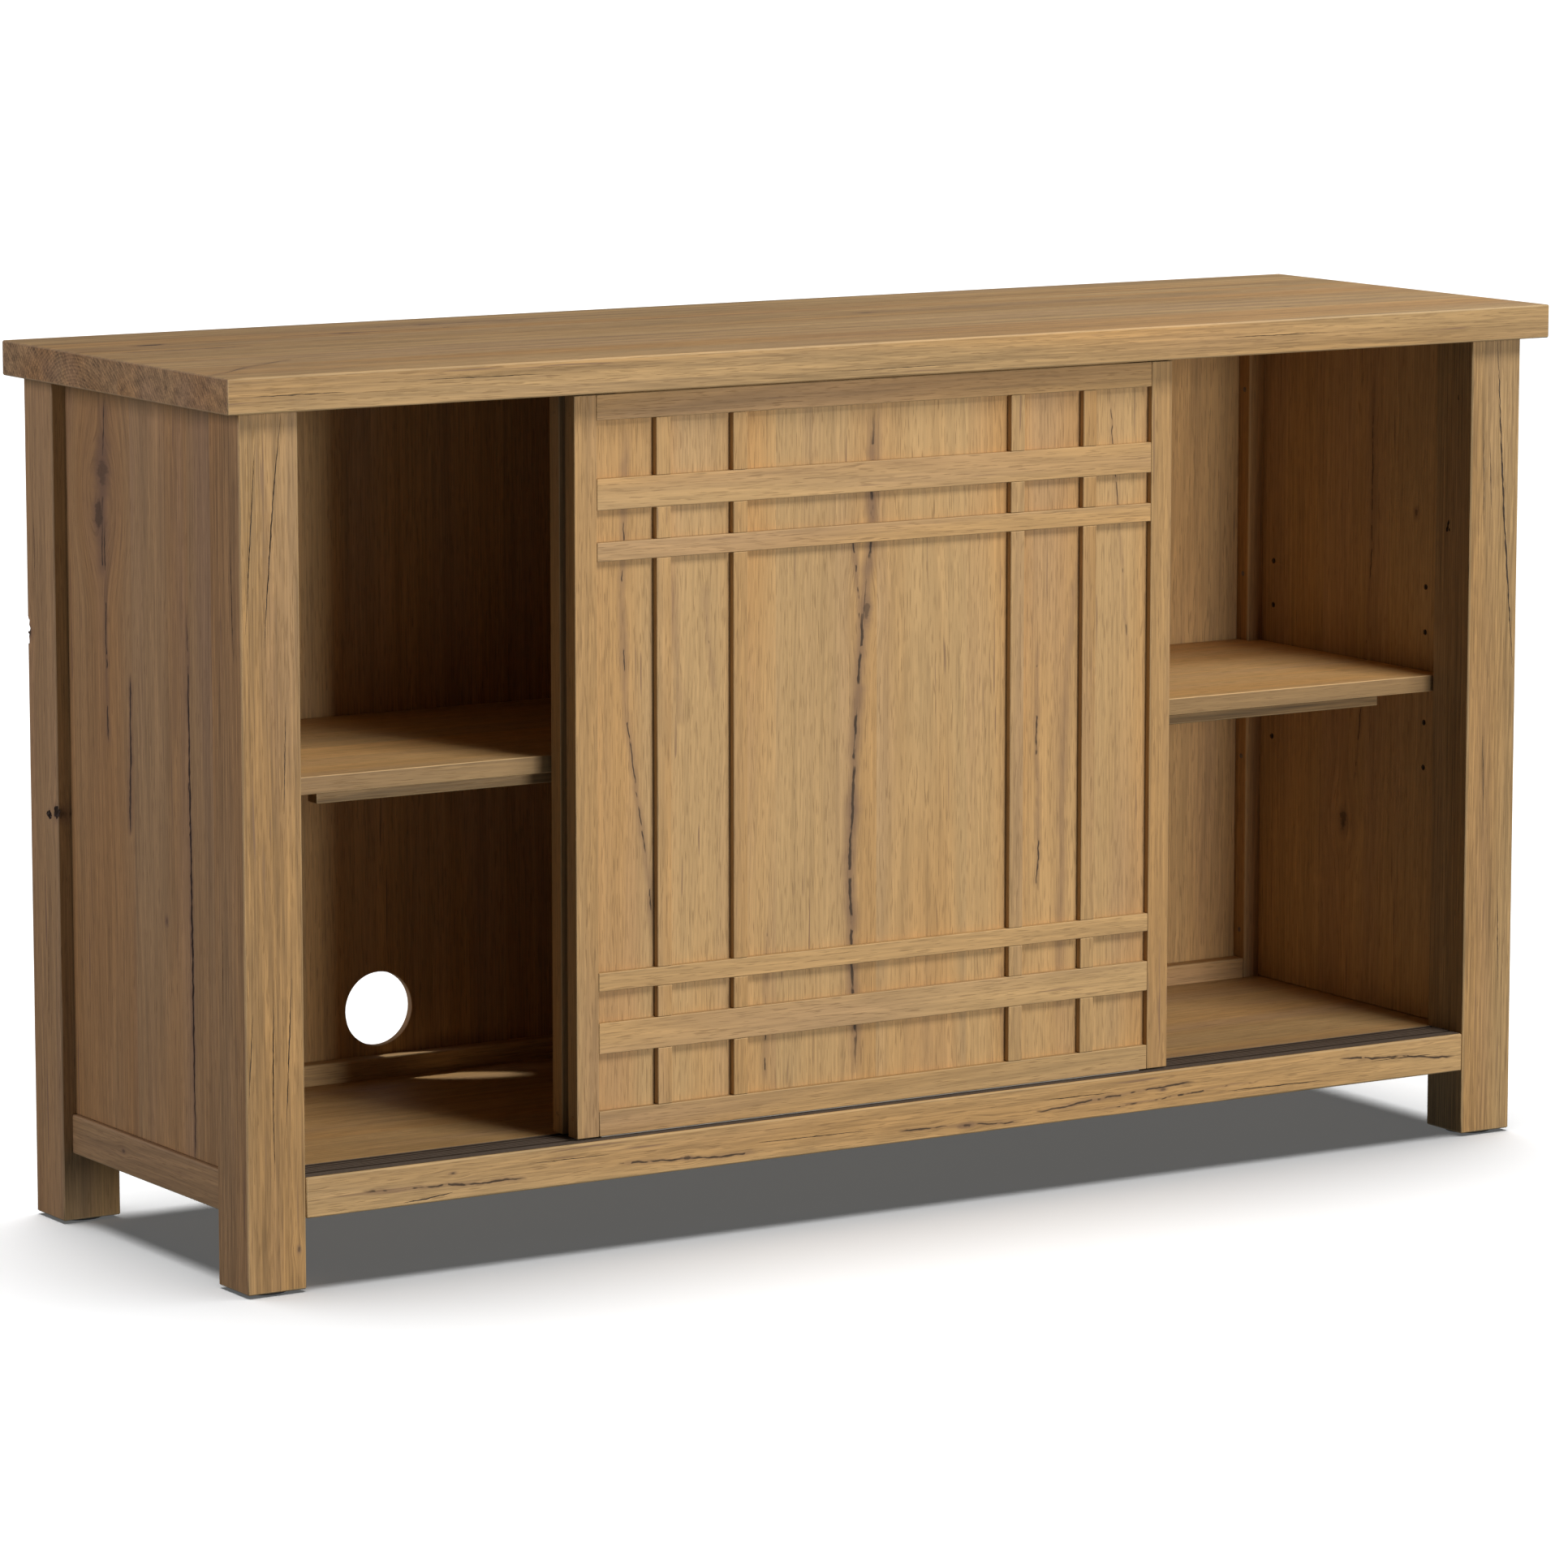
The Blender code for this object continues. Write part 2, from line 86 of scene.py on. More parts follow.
class Graph:
    """A node tree that is being written, for a shader or for geometry."""

    def __init__(self, tree: bpy.types.NodeTree) -> None:
        """Keeps the tree that the nodes are added to."""
        self.tree = tree

    def add(
        self,
        kind: str,
        settings: Mapping[str, Any] | None = None,
        inputs: Mapping[Any, Any] | None = None,
    ) -> bpy.types.Node:
        """Adds a node, sets it up and feeds it.

        Args:
            kind: The node's type.
            settings: Its properties, with "stops" for a colour ramp's (place, colour) pairs.
            inputs: What its sockets get, by name or number: a value or a signal.

        Returns:
            The new node.
        """
        node = self.tree.nodes.new(kind)
        for name, value in (settings or {}).items():
            if name == "stops":
                self._set_stops(node, value)
            else:
                setattr(node, name, value)
        for name, value in (inputs or {}).items():
            if isinstance(value, Signal):
                value = value.socket
            if isinstance(value, bpy.types.NodeSocket):
                self.tree.links.new(value, node.inputs[name])
            else:
                node.inputs[name].default_value = value
        return node

    @staticmethod
    def _set_stops(node: bpy.types.Node, stops: Sequence[tuple[float, float]]) -> None:
        """Gives a colour ramp its stops.

        Args:
            node: The ramp's node.
            stops: Each stop's place and level of grey.
        """
        ramp = node.color_ramp
        ramp.interpolation = "B_SPLINE"
        while len(ramp.elements) < len(stops):
            ramp.elements.new(0.5)
        for element, (place, level) in zip(ramp.elements, stops):
            element.position = place
            element.color = (level, level, level, 1.0)

    def signal(self, kind: str, settings: Any = None, inputs: Any = None, out: Any = 0) -> "Signal":
        """Adds a node as add does and returns one of its outputs."""
        return Signal(self, self.add(kind, settings, inputs).outputs[out])

    def vector(self, x: Number, y: Number, z: Number) -> "Signal":
        """Joins three numbers into a vector."""
        return self.signal("ShaderNodeCombineXYZ", inputs={0: x, 1: y, 2: z})

    def blend(self, factor: Number, first: Any, second: Any, how: str = "MIX") -> "Signal":
        """Mixes two colours.

        Args:
            factor: How much of the second colour is taken.
            first: The first colour, a tuple or a signal.
            second: The second colour, a tuple or a signal.
            how: The blend type.

        Returns:
            The mixed colour.
        """
        settings = {"data_type": "RGBA", "blend_type": how, "clamp_factor": True}
        colours = [(*c, 1.0) if isinstance(c, tuple) else c for c in (first, second)]
        inputs = {0: factor, 6: colours[0], 7: colours[1]}
        return self.signal("ShaderNodeMix", settings, inputs, out=2)


class Signal:
    """A node's output that can be used in arithmetic, each step of which adds a Math node."""

    def __init__(self, graph: Graph, socket: bpy.types.NodeSocket) -> None:
        """Wraps an output socket of the graph."""
        self.graph = graph
        self.socket = socket

    def math(self, operation: str, *operands: Number) -> "Signal":
        """The result of a Math operation on the operands, in order."""
        return self.graph.signal("ShaderNodeMath", {"operation": operation}, dict(enumerate(operands)))

    def __add__(self, other: Number) -> "Signal":
        """The sum."""
        return self.math("ADD", self, other)

    __radd__ = __add__

    def __sub__(self, other: Number) -> "Signal":
        """The difference."""
        return self.math("SUBTRACT", self, other)

    def __rsub__(self, other: Number) -> "Signal":
        """The difference, with this signal taken away."""
        return self.math("SUBTRACT", other, self)

    def __mul__(self, other: Number) -> "Signal":
        """The product."""
        return self.math("MULTIPLY", self, other)

    __rmul__ = __mul__

    def __truediv__(self, other: Number) -> "Signal":
        """The quotient."""
        return self.math("DIVIDE", self, other)

    def __rtruediv__(self, other: Number) -> "Signal":
        """The quotient, with this signal as the divisor."""
        return self.math("DIVIDE", other, self)

    def __pow__(self, other: Number) -> "Signal":
        """The power."""
        return self.math("POWER", self, other)

    def __abs__(self) -> "Signal":
        """The size without the sign."""
        return self.math("ABSOLUTE", self)

    def over(self, limit: Number) -> "Signal":
        """1 where the signal is above the limit, and 0 elsewhere."""
        return self.math("GREATER_THAN", self, limit)

    def least(self, other: Number) -> "Signal":
        """The smaller of two."""
        return self.math("MINIMUM", self, other)

    def most(self, other: Number) -> "Signal":
        """The larger of two."""
        return self.math("MAXIMUM", self, other)

    def fraction(self) -> "Signal":
        """What is left past the whole number."""
        return self.math("FRACT", self)

    def ease(self, start: Number, end: Number) -> "Signal":
        """Makes a smooth step.

        Args:
            start: Where the step is 0, which may be above or below its end.
            end: Where it is 1.

        Returns:
            The step, from 0 to 1.
        """
        return self.graph.signal(
            "ShaderNodeMapRange", {"interpolation_type": "SMOOTHSTEP"},
            {"Value": self, "From Min": start, "From Max": end},
        )


@dataclass(frozen=True)
class Streak:
    """A dark mineral line that wanders along the grain.

    Attributes:
        path: Its points, each (place along the grain, place across the board).
        halo: How far the stain reaches to each side.
        stain: How strong the stain is.
        core: Half the width of the black line in it, or 0.
        broken: How much of the black line is missing.
    """

    path: tuple[tuple[float, float], ...]
    halo: float = 0.006
    stain: float = 0.5
    core: float = 0.0007
    broken: float = 0.5


@dataclass(frozen=True)
class Knot:
    """A knot with the stain round it.

    Attributes:
        along: Its middle along the grain.
        across: Its middle across the board.
        length: Half its stain's length.
        width: Half its stain's width.
        heart: How dark the heart is.
    """

    along: float
    across: float
    length: float
    width: float
    heart: float = 0.9


@dataclass(frozen=True)
class Check:
    """A drying crack that is open at one face of a board.

    Attributes:
        path: Its points, each (place along the grain, place across the face).
        width: Its width at the widest place.
        depth: Its depth there.
        side: The face that it opens at.
        face: The axis that the face is square to, or None for the board's thickness.
    """

    path: tuple[tuple[float, float], ...]
    width: float = 0.0009
    depth: float = 0.004
    side: Side = Side.LOW
    face: Axis | None = None


@dataclass(frozen=True)
class Hole:
    """An open knot hole or a chip out of an edge.

    Attributes:
        place: Its middle.
        reach: Half its size along each axis.
    """

    place: tuple[float, float, float]
    reach: tuple[float, float, float]


@dataclass(frozen=True)
class Board:
    """A wooden piece: the solid that it is sawn from and the figure of its wood.

    Attributes:
        node: The solid's name.
        grain: The axis that the grain runs along.
        width: The axis across the broad face.
        body: The body that it moves with.
        slot: The material slot that its finish belongs to; not used.
        seams: Places across the board where planks or leaves of veneer meet.
        streaks: Its mineral lines.
        knots: Its knots.
        checks: Its open cracks.
        pith: The middle of the tree from the middle of the board, across and through.
        tone: How light the wood is; painted light raises it on the shelves and painted shade lowers it
            on the shelf stiffeners.
        warmth: How far the colour leans to ochre, from 0 to 1.
        fibre: How plainly the fine lines of the grain show.
        figure: How plainly the broad stripes show.
        brushed: How many short checks the brushing has opened, from 0 to 1.
        flecked: Whether rays show over the sawn ends.
        painted_edge_shade: How light the wood of its long edges is, beside that of its faces; on the
            shelves it is painted shade that darkens their long edges.
        holes: Its open knot holes and chips.
    """

    node: str
    grain: Axis
    width: Axis
    body: str = "cabinet"
    slot: str = "solid_oak"
    seams: tuple[float, ...] = ()
    streaks: tuple[Streak, ...] = ()
    knots: tuple[Knot, ...] = ()
    checks: tuple[Check, ...] = ()
    pith: tuple[float, float] = (0.03, -0.12)
    tone: float = 1.0
    warmth: float = 0.35
    fibre: float = 1.0
    figure: float = 1.0
    brushed: float = 0.3
    flecked: bool = False
    painted_edge_shade: float = 1.0
    holes: tuple[Hole, ...] = ()

    @property
    def thickness(self) -> Axis:
        """The axis through the board."""
        return next(axis for axis in Axis if axis not in (self.grain, self.width))

    @property
    def middle(self) -> Vector:
        """The middle of the board's solid."""
        low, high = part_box(self.node)
        return (low + high) / 2


@dataclass(frozen=True)
class Grain:
    """How fine each layer of the oak is, in features to the metre across and along the grain.

    Attributes:
        swing: The slow bends of the rings.
        bands: The warm bands.
        blush: The grey-pink bands.
        stripes: The broad light and dark stripes.
        fibre: The fine lines.
        dashes: The open pores.
        splits: The short checks that brushing opens.
        spells: The stretches that have such checks.
        patches: The uneven strength of a streak's stain.
        ragged: The ragged edge of its black line.
        gaps: The gaps in the black line.
        gnarl: The ragged edge of a knot.
        rays: The slanting rays of a sawn end, across and along them.
        wander: How a streak wanders: features to the metre along the grain and metres across.
    """

    swing: tuple[float, float] = (9.0, 1.3)
    bands: tuple[float, float] = (13.0, 1.1)
    blush: tuple[float, float] = (21.0, 1.7)
    stripes: tuple[float, float] = (75.0, 2.2)
    fibre: tuple[float, float] = (420.0, 8.0)
    dashes: tuple[float, float] = (900.0, 46.0)
    splits: tuple[float, float] = (240.0, 8.0)
    spells: tuple[float, float] = (30.0, 5.0)
    patches: tuple[float, float] = (14.0, 22.0)
    ragged: tuple[float, float] = (60.0, 110.0)
    gaps: tuple[float, float] = (30.0, 34.0)
    gnarl: tuple[float, float] = (120.0, 70.0)
    rays: tuple[float, float] = (330.0, 55.0)
    wander: tuple[tuple[float, float], ...] = ((90.0, 0.0030), (18.0, 0.0065))


@dataclass(frozen=True)
class OakFinish:
    """Brushed oak under a matt lacquer, as a solid pattern that follows each board's grain.

    Attributes:
        tan: The main colour.
        ochre: The colour of the warm bands.
        rosy: The colour of the grey-pink bands.
        pale: The colour of the rounded edges, partly bare, rubbed wood and partly a painted highlight.
        pore: The colour of the open pores.
        mineral: The colour of the stain along a streak or round a knot.
        dark_marks_and_crack_shade: The colour in the heart of a knot, and painted shade in cracks and
            holes.
        ring: The spacing of the yearly rings.
        roughness: The lacquer's roughness.
        relief: The height of the brushed grain.
        relief_strength: How strongly that height is shaded.
        sheen: How strongly the lacquer mirrors.
        grain: How fine its layers are.
    """

    tan: Colour = (0.515, 0.335, 0.152)
    ochre: Colour = (0.515, 0.290, 0.105)
    rosy: Colour = (0.400, 0.255, 0.150)
    pale: Colour = (0.66, 0.50, 0.28)
    pore: Colour = (0.185, 0.110, 0.050)
    mineral: Colour = (0.235, 0.140, 0.078)
    dark_marks_and_crack_shade: Colour = (0.046, 0.027, 0.014)
    ring: float = 0.0034
    roughness: float = 0.56
    relief: float = 0.0005
    relief_strength: float = 0.42
    sheen: float = 0.35
    grain: Grain = Grain()

    def material(self, board: Board) -> bpy.types.Material:
        """Makes the oak of one board.

        Args:
            board: The board, whose grain and marks the pattern follows.

        Returns:
            The board's own material.
        """
        made = bpy.data.materials.new(f"oak_{board.node}")
        made.use_nodes = True
        graph = Graph(made.node_tree)
        shader = made.node_tree.nodes["Principled BSDF"]
        sawn = OakPattern(graph, board, self)
        for name, value in sawn.outputs().items():
            graph.tree.links.new(value.socket, shader.inputs[name])
        shader.inputs["Specular IOR Level"].default_value = self.sheen
        return made


class OakPattern:
    """The nodes of one board's oak."""

    def __init__(self, graph: Graph, board: Board, finish: OakFinish) -> None:
        """Places the pattern in the board.

        Args:
            graph: The material's tree.
            board: The board.
            finish: The colours and sizes of the finish.
        """
        self.graph = graph
        self.board = board
        self.finish = finish
        self.grain = finish.grain
        self.draw = random.Random(board.node)
        place = graph.signal("ShaderNodeTexCoord", out="Object")
        parts = graph.add("ShaderNodeSeparateXYZ", inputs={0: place})
        self.along, self.across, self.through = (
            Signal(graph, parts.outputs[axis.value])
            for axis in (board.grain, board.width, board.thickness)
        )
        self.bent = self._bend_round_knots()
        self.plank = self._plank_draws()

    def _bend_round_knots(self) -> Signal:
        """The place across the board, pushed aside where the grain flows round a knot."""
        bent = self.across
        for knot in self.board.knots:
            pull = self._knot_distance(knot, 1.6).ease(2.0, 0.0)
            bent = bent - (self.across - knot.across) * pull * 0.75
        return bent

    def _knot_distance(self, knot: Knot, spread: float = 1.0) -> Signal:
        """Measures how far a place is from a knot.

        Args:
            knot: The knot.
            spread: How much larger than its stain it is taken to be.

        Returns:
            The distance, in halves of the stain's size.
        """
        long_way = (self.along - knot.along) / (knot.length * spread)
        short_way = (self.across - knot.across) / (knot.width * spread)
        return (long_way * long_way + short_way * short_way) ** 0.5

    def _plank_draws(self) -> bpy.types.Node:
        """Three random numbers that are the same over a plank and differ between planks."""
        number: Number = self.draw.uniform(1, 60)
        for seam in self.board.seams:
            number = self.across.over(seam) + number
        return self.graph.add("ShaderNodeTexWhiteNoise", {"noise_dimensions": "1D"}, {"W": number})

    def plank_draw(self, which: int) -> Signal:
        """One of the plank's random numbers, by its place from 0 to 2."""
        colour = self.graph.add("ShaderNodeSeparateColor", inputs={0: self.plank.outputs["Color"]})
        return Signal(self.graph, colour.outputs[which])

    def cloud(self, across: float, along: float, detail: float = 2.0, lean: float = 0.5) -> Signal:
        """Noise stretched along the grain.

        Args:
            across: Its features to the metre across the grain.
            along: Its features to the metre along the grain.
            detail: How many finer layers it has.
            lean: How strong the finer layers are.

        Returns:
            The noise, from 0 to 1.
        """
        shift = [self.draw.uniform(-30, 30) for _ in range(3)]
        jump = self.plank_draw(0) * 17.0
        place = self.graph.vector(
            self.bent * across + shift[0] + jump, self.through * across + shift[1],
            self.along * along + shift[2] + jump,
        )
        inputs = {"Vector": place, "Scale": 1.0, "Detail": detail, "Roughness": lean}
        return self.graph.signal("ShaderNodeTexNoise", inputs=inputs)

    def rings(self) -> Signal:
        """The yearly rings: light early wood that darkens slowly and ends sharply."""
        middle = self.board.middle
        off, deep = self.board.pith
        swing = self.cloud(*self.grain.swing, 1.0) - 0.5
        wide = self.bent - (middle[self.board.width.value] + off) + swing * 0.05
        wide = wide + (self.plank_draw(1) - 0.5) * 0.10
        thick = self.through - (middle[self.board.thickness.value] + deep)
        radius = (wide * wide + thick * thick) ** 0.5
        taper = self.draw.choice((-1, 1)) * self.draw.uniform(0.012, 0.03)
        ring = ((radius + self.along * taper) / self.finish.ring + swing * 1.5).fraction()
        return ring.ease(0.0, 0.8) * ring.ease(1.0, 0.86)

    def streaks(self) -> tuple[Signal | None, Signal | None]:
        """The stain and the black line of all the board's streaks, or None without any."""
        stain: Signal | None = None
        line: Signal | None = None
        if not self.board.streaks:
            return stain, line
        here = self.across
        for rate, reach in self.grain.wander:
            here = here - self._wander(rate) * reach
        patch = self.cloud(*self.grain.patches, 2.0)
        loose = 1.0 / (patch * 1.5 + 0.22)
        ragged = 1.0 / (self.cloud(*self.grain.ragged, 1.0) * 2.0 + 0.15)
        gate = self.cloud(*self.grain.gaps, 2.0, 0.65)
        for streak in self.board.streaks:
            along = [place for place, _ in streak.path]
            across = [place for _, place in streak.path]
            low, high = min(along), max(along)
            left, right = min(across) - MILLIMETRE, max(across) + MILLIMETRE
            stops = sorted(
                ((place - low) / (high - low), (side - left) / (right - left))
                for place, side in streak.path
            )
            run = (self.along - low) / (high - low)
            ramp = self.graph.signal("ShaderNodeValToRGB", {"stops": stops}, {0: run})
            off = abs(here - (ramp * (right - left) + left))
            ends = (run * (1.0 - run) * 14.0).least(1.0).most(0.0)
            smear = (off * loose).ease(streak.halo, 0.0) * (ends * streak.stain)
            stain = smear if stain is None else stain.most(smear)
            if streak.core:
                start = 0.30 + 0.35 * streak.broken
                black = (off * ragged).ease(streak.core * 1.1, streak.core * 0.6)
                black = black * gate.ease(start, start + 0.05) * ends
                line = black if line is None else line.most(black)
        return stain * (patch * 1.1 + 0.5), line

    def flecks(self) -> Signal:
        """Short rays that run slantwise over a sawn end, about 0."""
        slant = (self.across + self.through) * self.grain.rays[1]
        square = (self.across - self.through) * self.grain.rays[0]
        place = self.graph.vector(slant, square, self.draw.uniform(-30, 30))
        inputs = {"Vector": place, "Scale": 1.0, "Detail": 1.0}
        ray = self.graph.signal("ShaderNodeTexNoise", inputs=inputs).ease(0.47, 0.60)
        return ray * 0.26 - 0.07

    def _wander(self, along: float) -> Signal:
        """Makes noise that changes quickly along the grain and slowly across it.

        Args:
            along: Its features to the metre along the grain.

        Returns:
            The noise, about 0.
        """
        shift = self.draw.uniform(-30, 30)
        place = self.graph.vector(self.across * 8.0 + shift, shift, self.along * along)
        inputs = {"Vector": place, "Scale": 1.0, "Detail": 1.0}
        return self.graph.signal("ShaderNodeTexNoise", inputs=inputs) - 0.5

    def knots(self) -> tuple[Signal | None, Signal | None]:
        """The stain and the dark heart of all the board's knots, or None without any."""
        stain: Signal | None = None
        heart: Signal | None = None
        for knot in self.board.knots:
            ragged = self.cloud(*self.grain.gnarl, 3.0, 0.7)
            reach = self._knot_distance(knot) + (ragged - 0.5) * 1.1
            smear = reach.ease(1.0, 0.25) * (ragged * 0.7 + 0.35)
            dark = reach.ease(0.42, 0.22) * knot.heart
            stain = smear if stain is None else stain.most(smear)
            heart = dark if heart is None else heart.most(dark)
        return stain, heart

    def outputs(self) -> dict[str, Signal]:
        """Writes the pattern.

        Returns:
            What the shader's sockets get, by name.
        """
        graph, board, finish = self.graph, self.board, self.finish
        ring = self.rings()
        bands = self.cloud(*self.grain.bands, 1.0).ease(0.34, 0.68)
        blush = self.cloud(*self.grain.blush, 1.0).ease(0.44, 0.74)
        stripes = self.cloud(*self.grain.stripes, 1.0, 0.6)
        fibre = self.cloud(*self.grain.fibre, 2.0, 0.75)
        dashes = self.cloud(*self.grain.dashes, 1.0)
        pores = dashes.ease(0.55, 0.68) * (1.0 - ring * 0.5)
        wear_and_painted_light = graph.signal("ShaderNodeAttribute", {"attribute_name": WEAR_AND_PAINTED_LIGHT_MARK}, out="Fac")
        normal = graph.signal("ShaderNodeNewGeometry", out="Normal")
        facing = graph.add("ShaderNodeSeparateXYZ", inputs={0: normal})
        cut_end = abs(Signal(graph, facing.outputs[board.grain.value])).ease(0.75, 0.95)

        warm = bands * (0.45 + 0.8 * board.warmth) + (self.plank_draw(2) - 0.5) * 0.5
        colour = graph.blend(warm, finish.tan, finish.ochre)
        colour = graph.blend(blush * (0.55 - 0.4 * board.warmth), colour, finish.rosy)
        light = (stripes - 0.5) * (0.42 * board.figure) + (fibre - 0.5) * (0.8 * board.fibre)
        light = light + ring * -0.10
        light = light + (self.plank_draw(1) - 0.5) * 0.12 + 1.04 * board.tone
        light = light - cut_end * (ring * 0.16 + 0.02)
        # Painted shade: the long edges are made darker than the faces.
        if board.painted_edge_shade != 1.0:
            edge = abs(Signal(graph, facing.outputs[board.width.value])).ease(0.75, 0.95)
            light = light * (1.0 - edge * (1.0 - board.painted_edge_shade))
        if board.flecked:
            light = light + self.flecks() * cut_end
        colour = graph.blend(1.0, colour, light, "MULTIPLY")
        colour = graph.blend(pores * 0.48, colour, finish.pore)

        splits = self.cloud(*self.grain.splits, 1.0, 0.6).ease(0.70 - 0.06 * board.brushed, 0.73)
        splits = splits * self.cloud(*self.grain.spells, 0.0).ease(0.55 - 0.2 * board.brushed, 0.7)
        colour = graph.blend(splits * 0.8, colour, finish.mineral)
        for stain, black in (self.streaks(), self.knots()):
            if stain is not None:
                colour = graph.blend(stain, colour, finish.mineral)
            if black is not None:
                colour = graph.blend(black * 0.92, colour, finish.dark_marks_and_crack_shade)
        # The rounded edges are paled, partly as wear and partly as a painted highlight.
        colour = graph.blend(wear_and_painted_light.most(0.0) * 0.30, colour, finish.pale)
        # The cut faces of cracks and holes go near black: painted shade.
        colour = graph.blend((wear_and_painted_light * -1.0).most(0.0), colour, finish.dark_marks_and_crack_shade)

        rough = finish.roughness + pores * 0.14 + (fibre - 0.5) * 0.12
        height = fibre * 0.6 - pores * 0.6
        inputs = {"Strength": finish.relief_strength, "Distance": finish.relief, "Height": height}
        normal = graph.signal("ShaderNodeBump", inputs=inputs)
        return {"Base Color": colour, "Roughness": rough, "Normal": normal}


@dataclass(frozen=True)
class SatinFinish:
    """A moulded or drawn piece with fine marks in its surface.

    Attributes:
        name: The material's name.
        base: Its colour.
        marks: The colour of its scuffs and dust.
        roughness: Its roughness between the marks.
        metallic: 1 on bare or plated metal.
        drawn: The axis that the fine lines run along, or None for a moulded grain.
        relief: The depth of the marks.
        sheen: How strongly it mirrors.
    """

    name: str
    base: Colour
    marks: Colour
    roughness: float = 0.4
    metallic: float = 0.0
    drawn: Axis | None = None
    relief: float = 0.00006
    sheen: float = 0.5

    def material(self) -> bpy.types.Material:
        """Makes the material."""
        made = bpy.data.materials.new(self.name)
        made.use_nodes = True
        graph = Graph(made.node_tree)
        place = graph.signal("ShaderNodeTexCoord", out="Object")
        parts = graph.add("ShaderNodeSeparateXYZ", inputs={0: place})
        rates = [2600.0] * 3
        if self.drawn:
            rates[self.drawn.value] = 16.0
        stretched = graph.vector(
            *(Signal(graph, parts.outputs[i]) * rate for i, rate in enumerate(rates))
        )
        fine = graph.signal(
            "ShaderNodeTexNoise", inputs={"Vector": stretched, "Scale": 1.0, "Detail": 2.0}
        )
        dust = graph.signal(
            "ShaderNodeTexNoise",
            inputs={"Vector": place, "Scale": 38.0, "Detail": 5.0, "Roughness": 0.65},
        )
        scuffed = fine.ease(0.55, 0.78) * 0.35 + dust.ease(0.5, 0.8) * 0.3
        colour = graph.blend(scuffed, self.base, self.marks)
        rough = self.roughness + (fine - 0.5) * 0.16 + dust.ease(0.45, 0.8) * 0.12
        inputs = {"Strength": 0.5, "Distance": self.relief, "Height": fine}
        normal = graph.signal("ShaderNodeBump", inputs=inputs)
        shader = made.node_tree.nodes["Principled BSDF"]
        shader.inputs["Metallic"].default_value = self.metallic
        shader.inputs["Specular IOR Level"].default_value = self.sheen
        for name, value in (("Base Color", colour), ("Roughness", rough), ("Normal", normal)):
            graph.tree.links.new(value.socket, shader.inputs[name])
        return made


class Finishes:
    """The finishes of the cabinet, each material made once."""

    oak = OakFinish()
    track = SatinFinish(
        "bronzed_profile", (0.046, 0.031, 0.021), (0.105, 0.078, 0.058), 0.7, 0.0, Axis.X, sheen=0.2
    )
    # The ribs' lighter colour is partly wear and partly a painted highlight on the ridges.
    wear_and_painted_light = SatinFinish(
        "ridge_wear_and_highlight", (0.115, 0.085, 0.064), (0.20, 0.155, 0.12), 0.5, 0.0, Axis.X, sheen=0.3
    )
    glide = SatinFinish("black_glide", (0.016, 0.015, 0.015), (0.09, 0.085, 0.08), 0.6)
    nylon = SatinFinish("runner_nylon", (0.70, 0.68, 0.62), (0.45, 0.43, 0.39), 0.42, 0.0, Axis.X)
    nickel = SatinFinish("nickel_plate", (0.58, 0.56, 0.53), (0.36, 0.34, 0.31), 0.32, 1.0, Axis.Y)
    screw = SatinFinish("dulled_screw", (0.23, 0.21, 0.19), (0.13, 0.11, 0.09), 0.42, 1.0)

    def __init__(self) -> None:
        """Starts with nothing made."""
        self._made: dict[str, bpy.types.Material] = {}

    def satin(self, finish: SatinFinish) -> bpy.types.Material:
        """Finds or makes the material of a satin finish.

        Args:
            finish: The finish.

        Returns:
            Its material.
        """
        if finish.name not in self._made:
            self._made[finish.name] = finish.material()
        return self._made[finish.name]

    def plug_oak(self) -> bpy.types.Material:
        """End-grain oak for dowel plugs."""
        if "plug" not in self._made:
            plug = Board("door_front_stile_left", Axis.X, Axis.Z, tone=0.9, fibre=0.6)
            self._made["plug"] = self.oak.material(plug)
        return self._made["plug"]


def new_object(name: str, mesh: bpy.types.Mesh) -> bpy.types.Object:
    """Links a mesh to the scene as an object at the origin.

    Args:
        name: The object's name.
        mesh: Its mesh.

    Returns:
        The object.
    """
    made = bpy.data.objects.new(name, mesh)
    bpy.context.scene.collection.objects.link(made)
    return made


def settled(piece: bpy.types.Object) -> bpy.types.Object:
    """Applies a piece's modifiers by replacing its mesh with the evaluated one.

    Args:
        piece: The piece, whose modifiers are removed.

    Returns:
        The same piece.
    """
    graph = bpy.context.evaluated_depsgraph_get()
    done = bpy.data.meshes.new_from_object(
        piece.evaluated_get(graph), preserve_all_data_layers=True, depsgraph=graph
    )
    before = piece.data
    piece.modifiers.clear()
    piece.data = done
    bpy.data.meshes.remove(before)
    return piece


def present(piece: bpy.types.Object, body: str, stands_for: Sequence[str] = ()) -> None:
    """Hands a finished piece to the frame and reports it.

    Args:
        piece: The piece.
        body: The body that it moves with.
        stands_for: The solids that it replaces.
    """
    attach(piece, body)
    if stands_for:
        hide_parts(*stands_for)
    LOG.info("%s: %d faces, on %s", piece.name, len(piece.data.polygons), body)


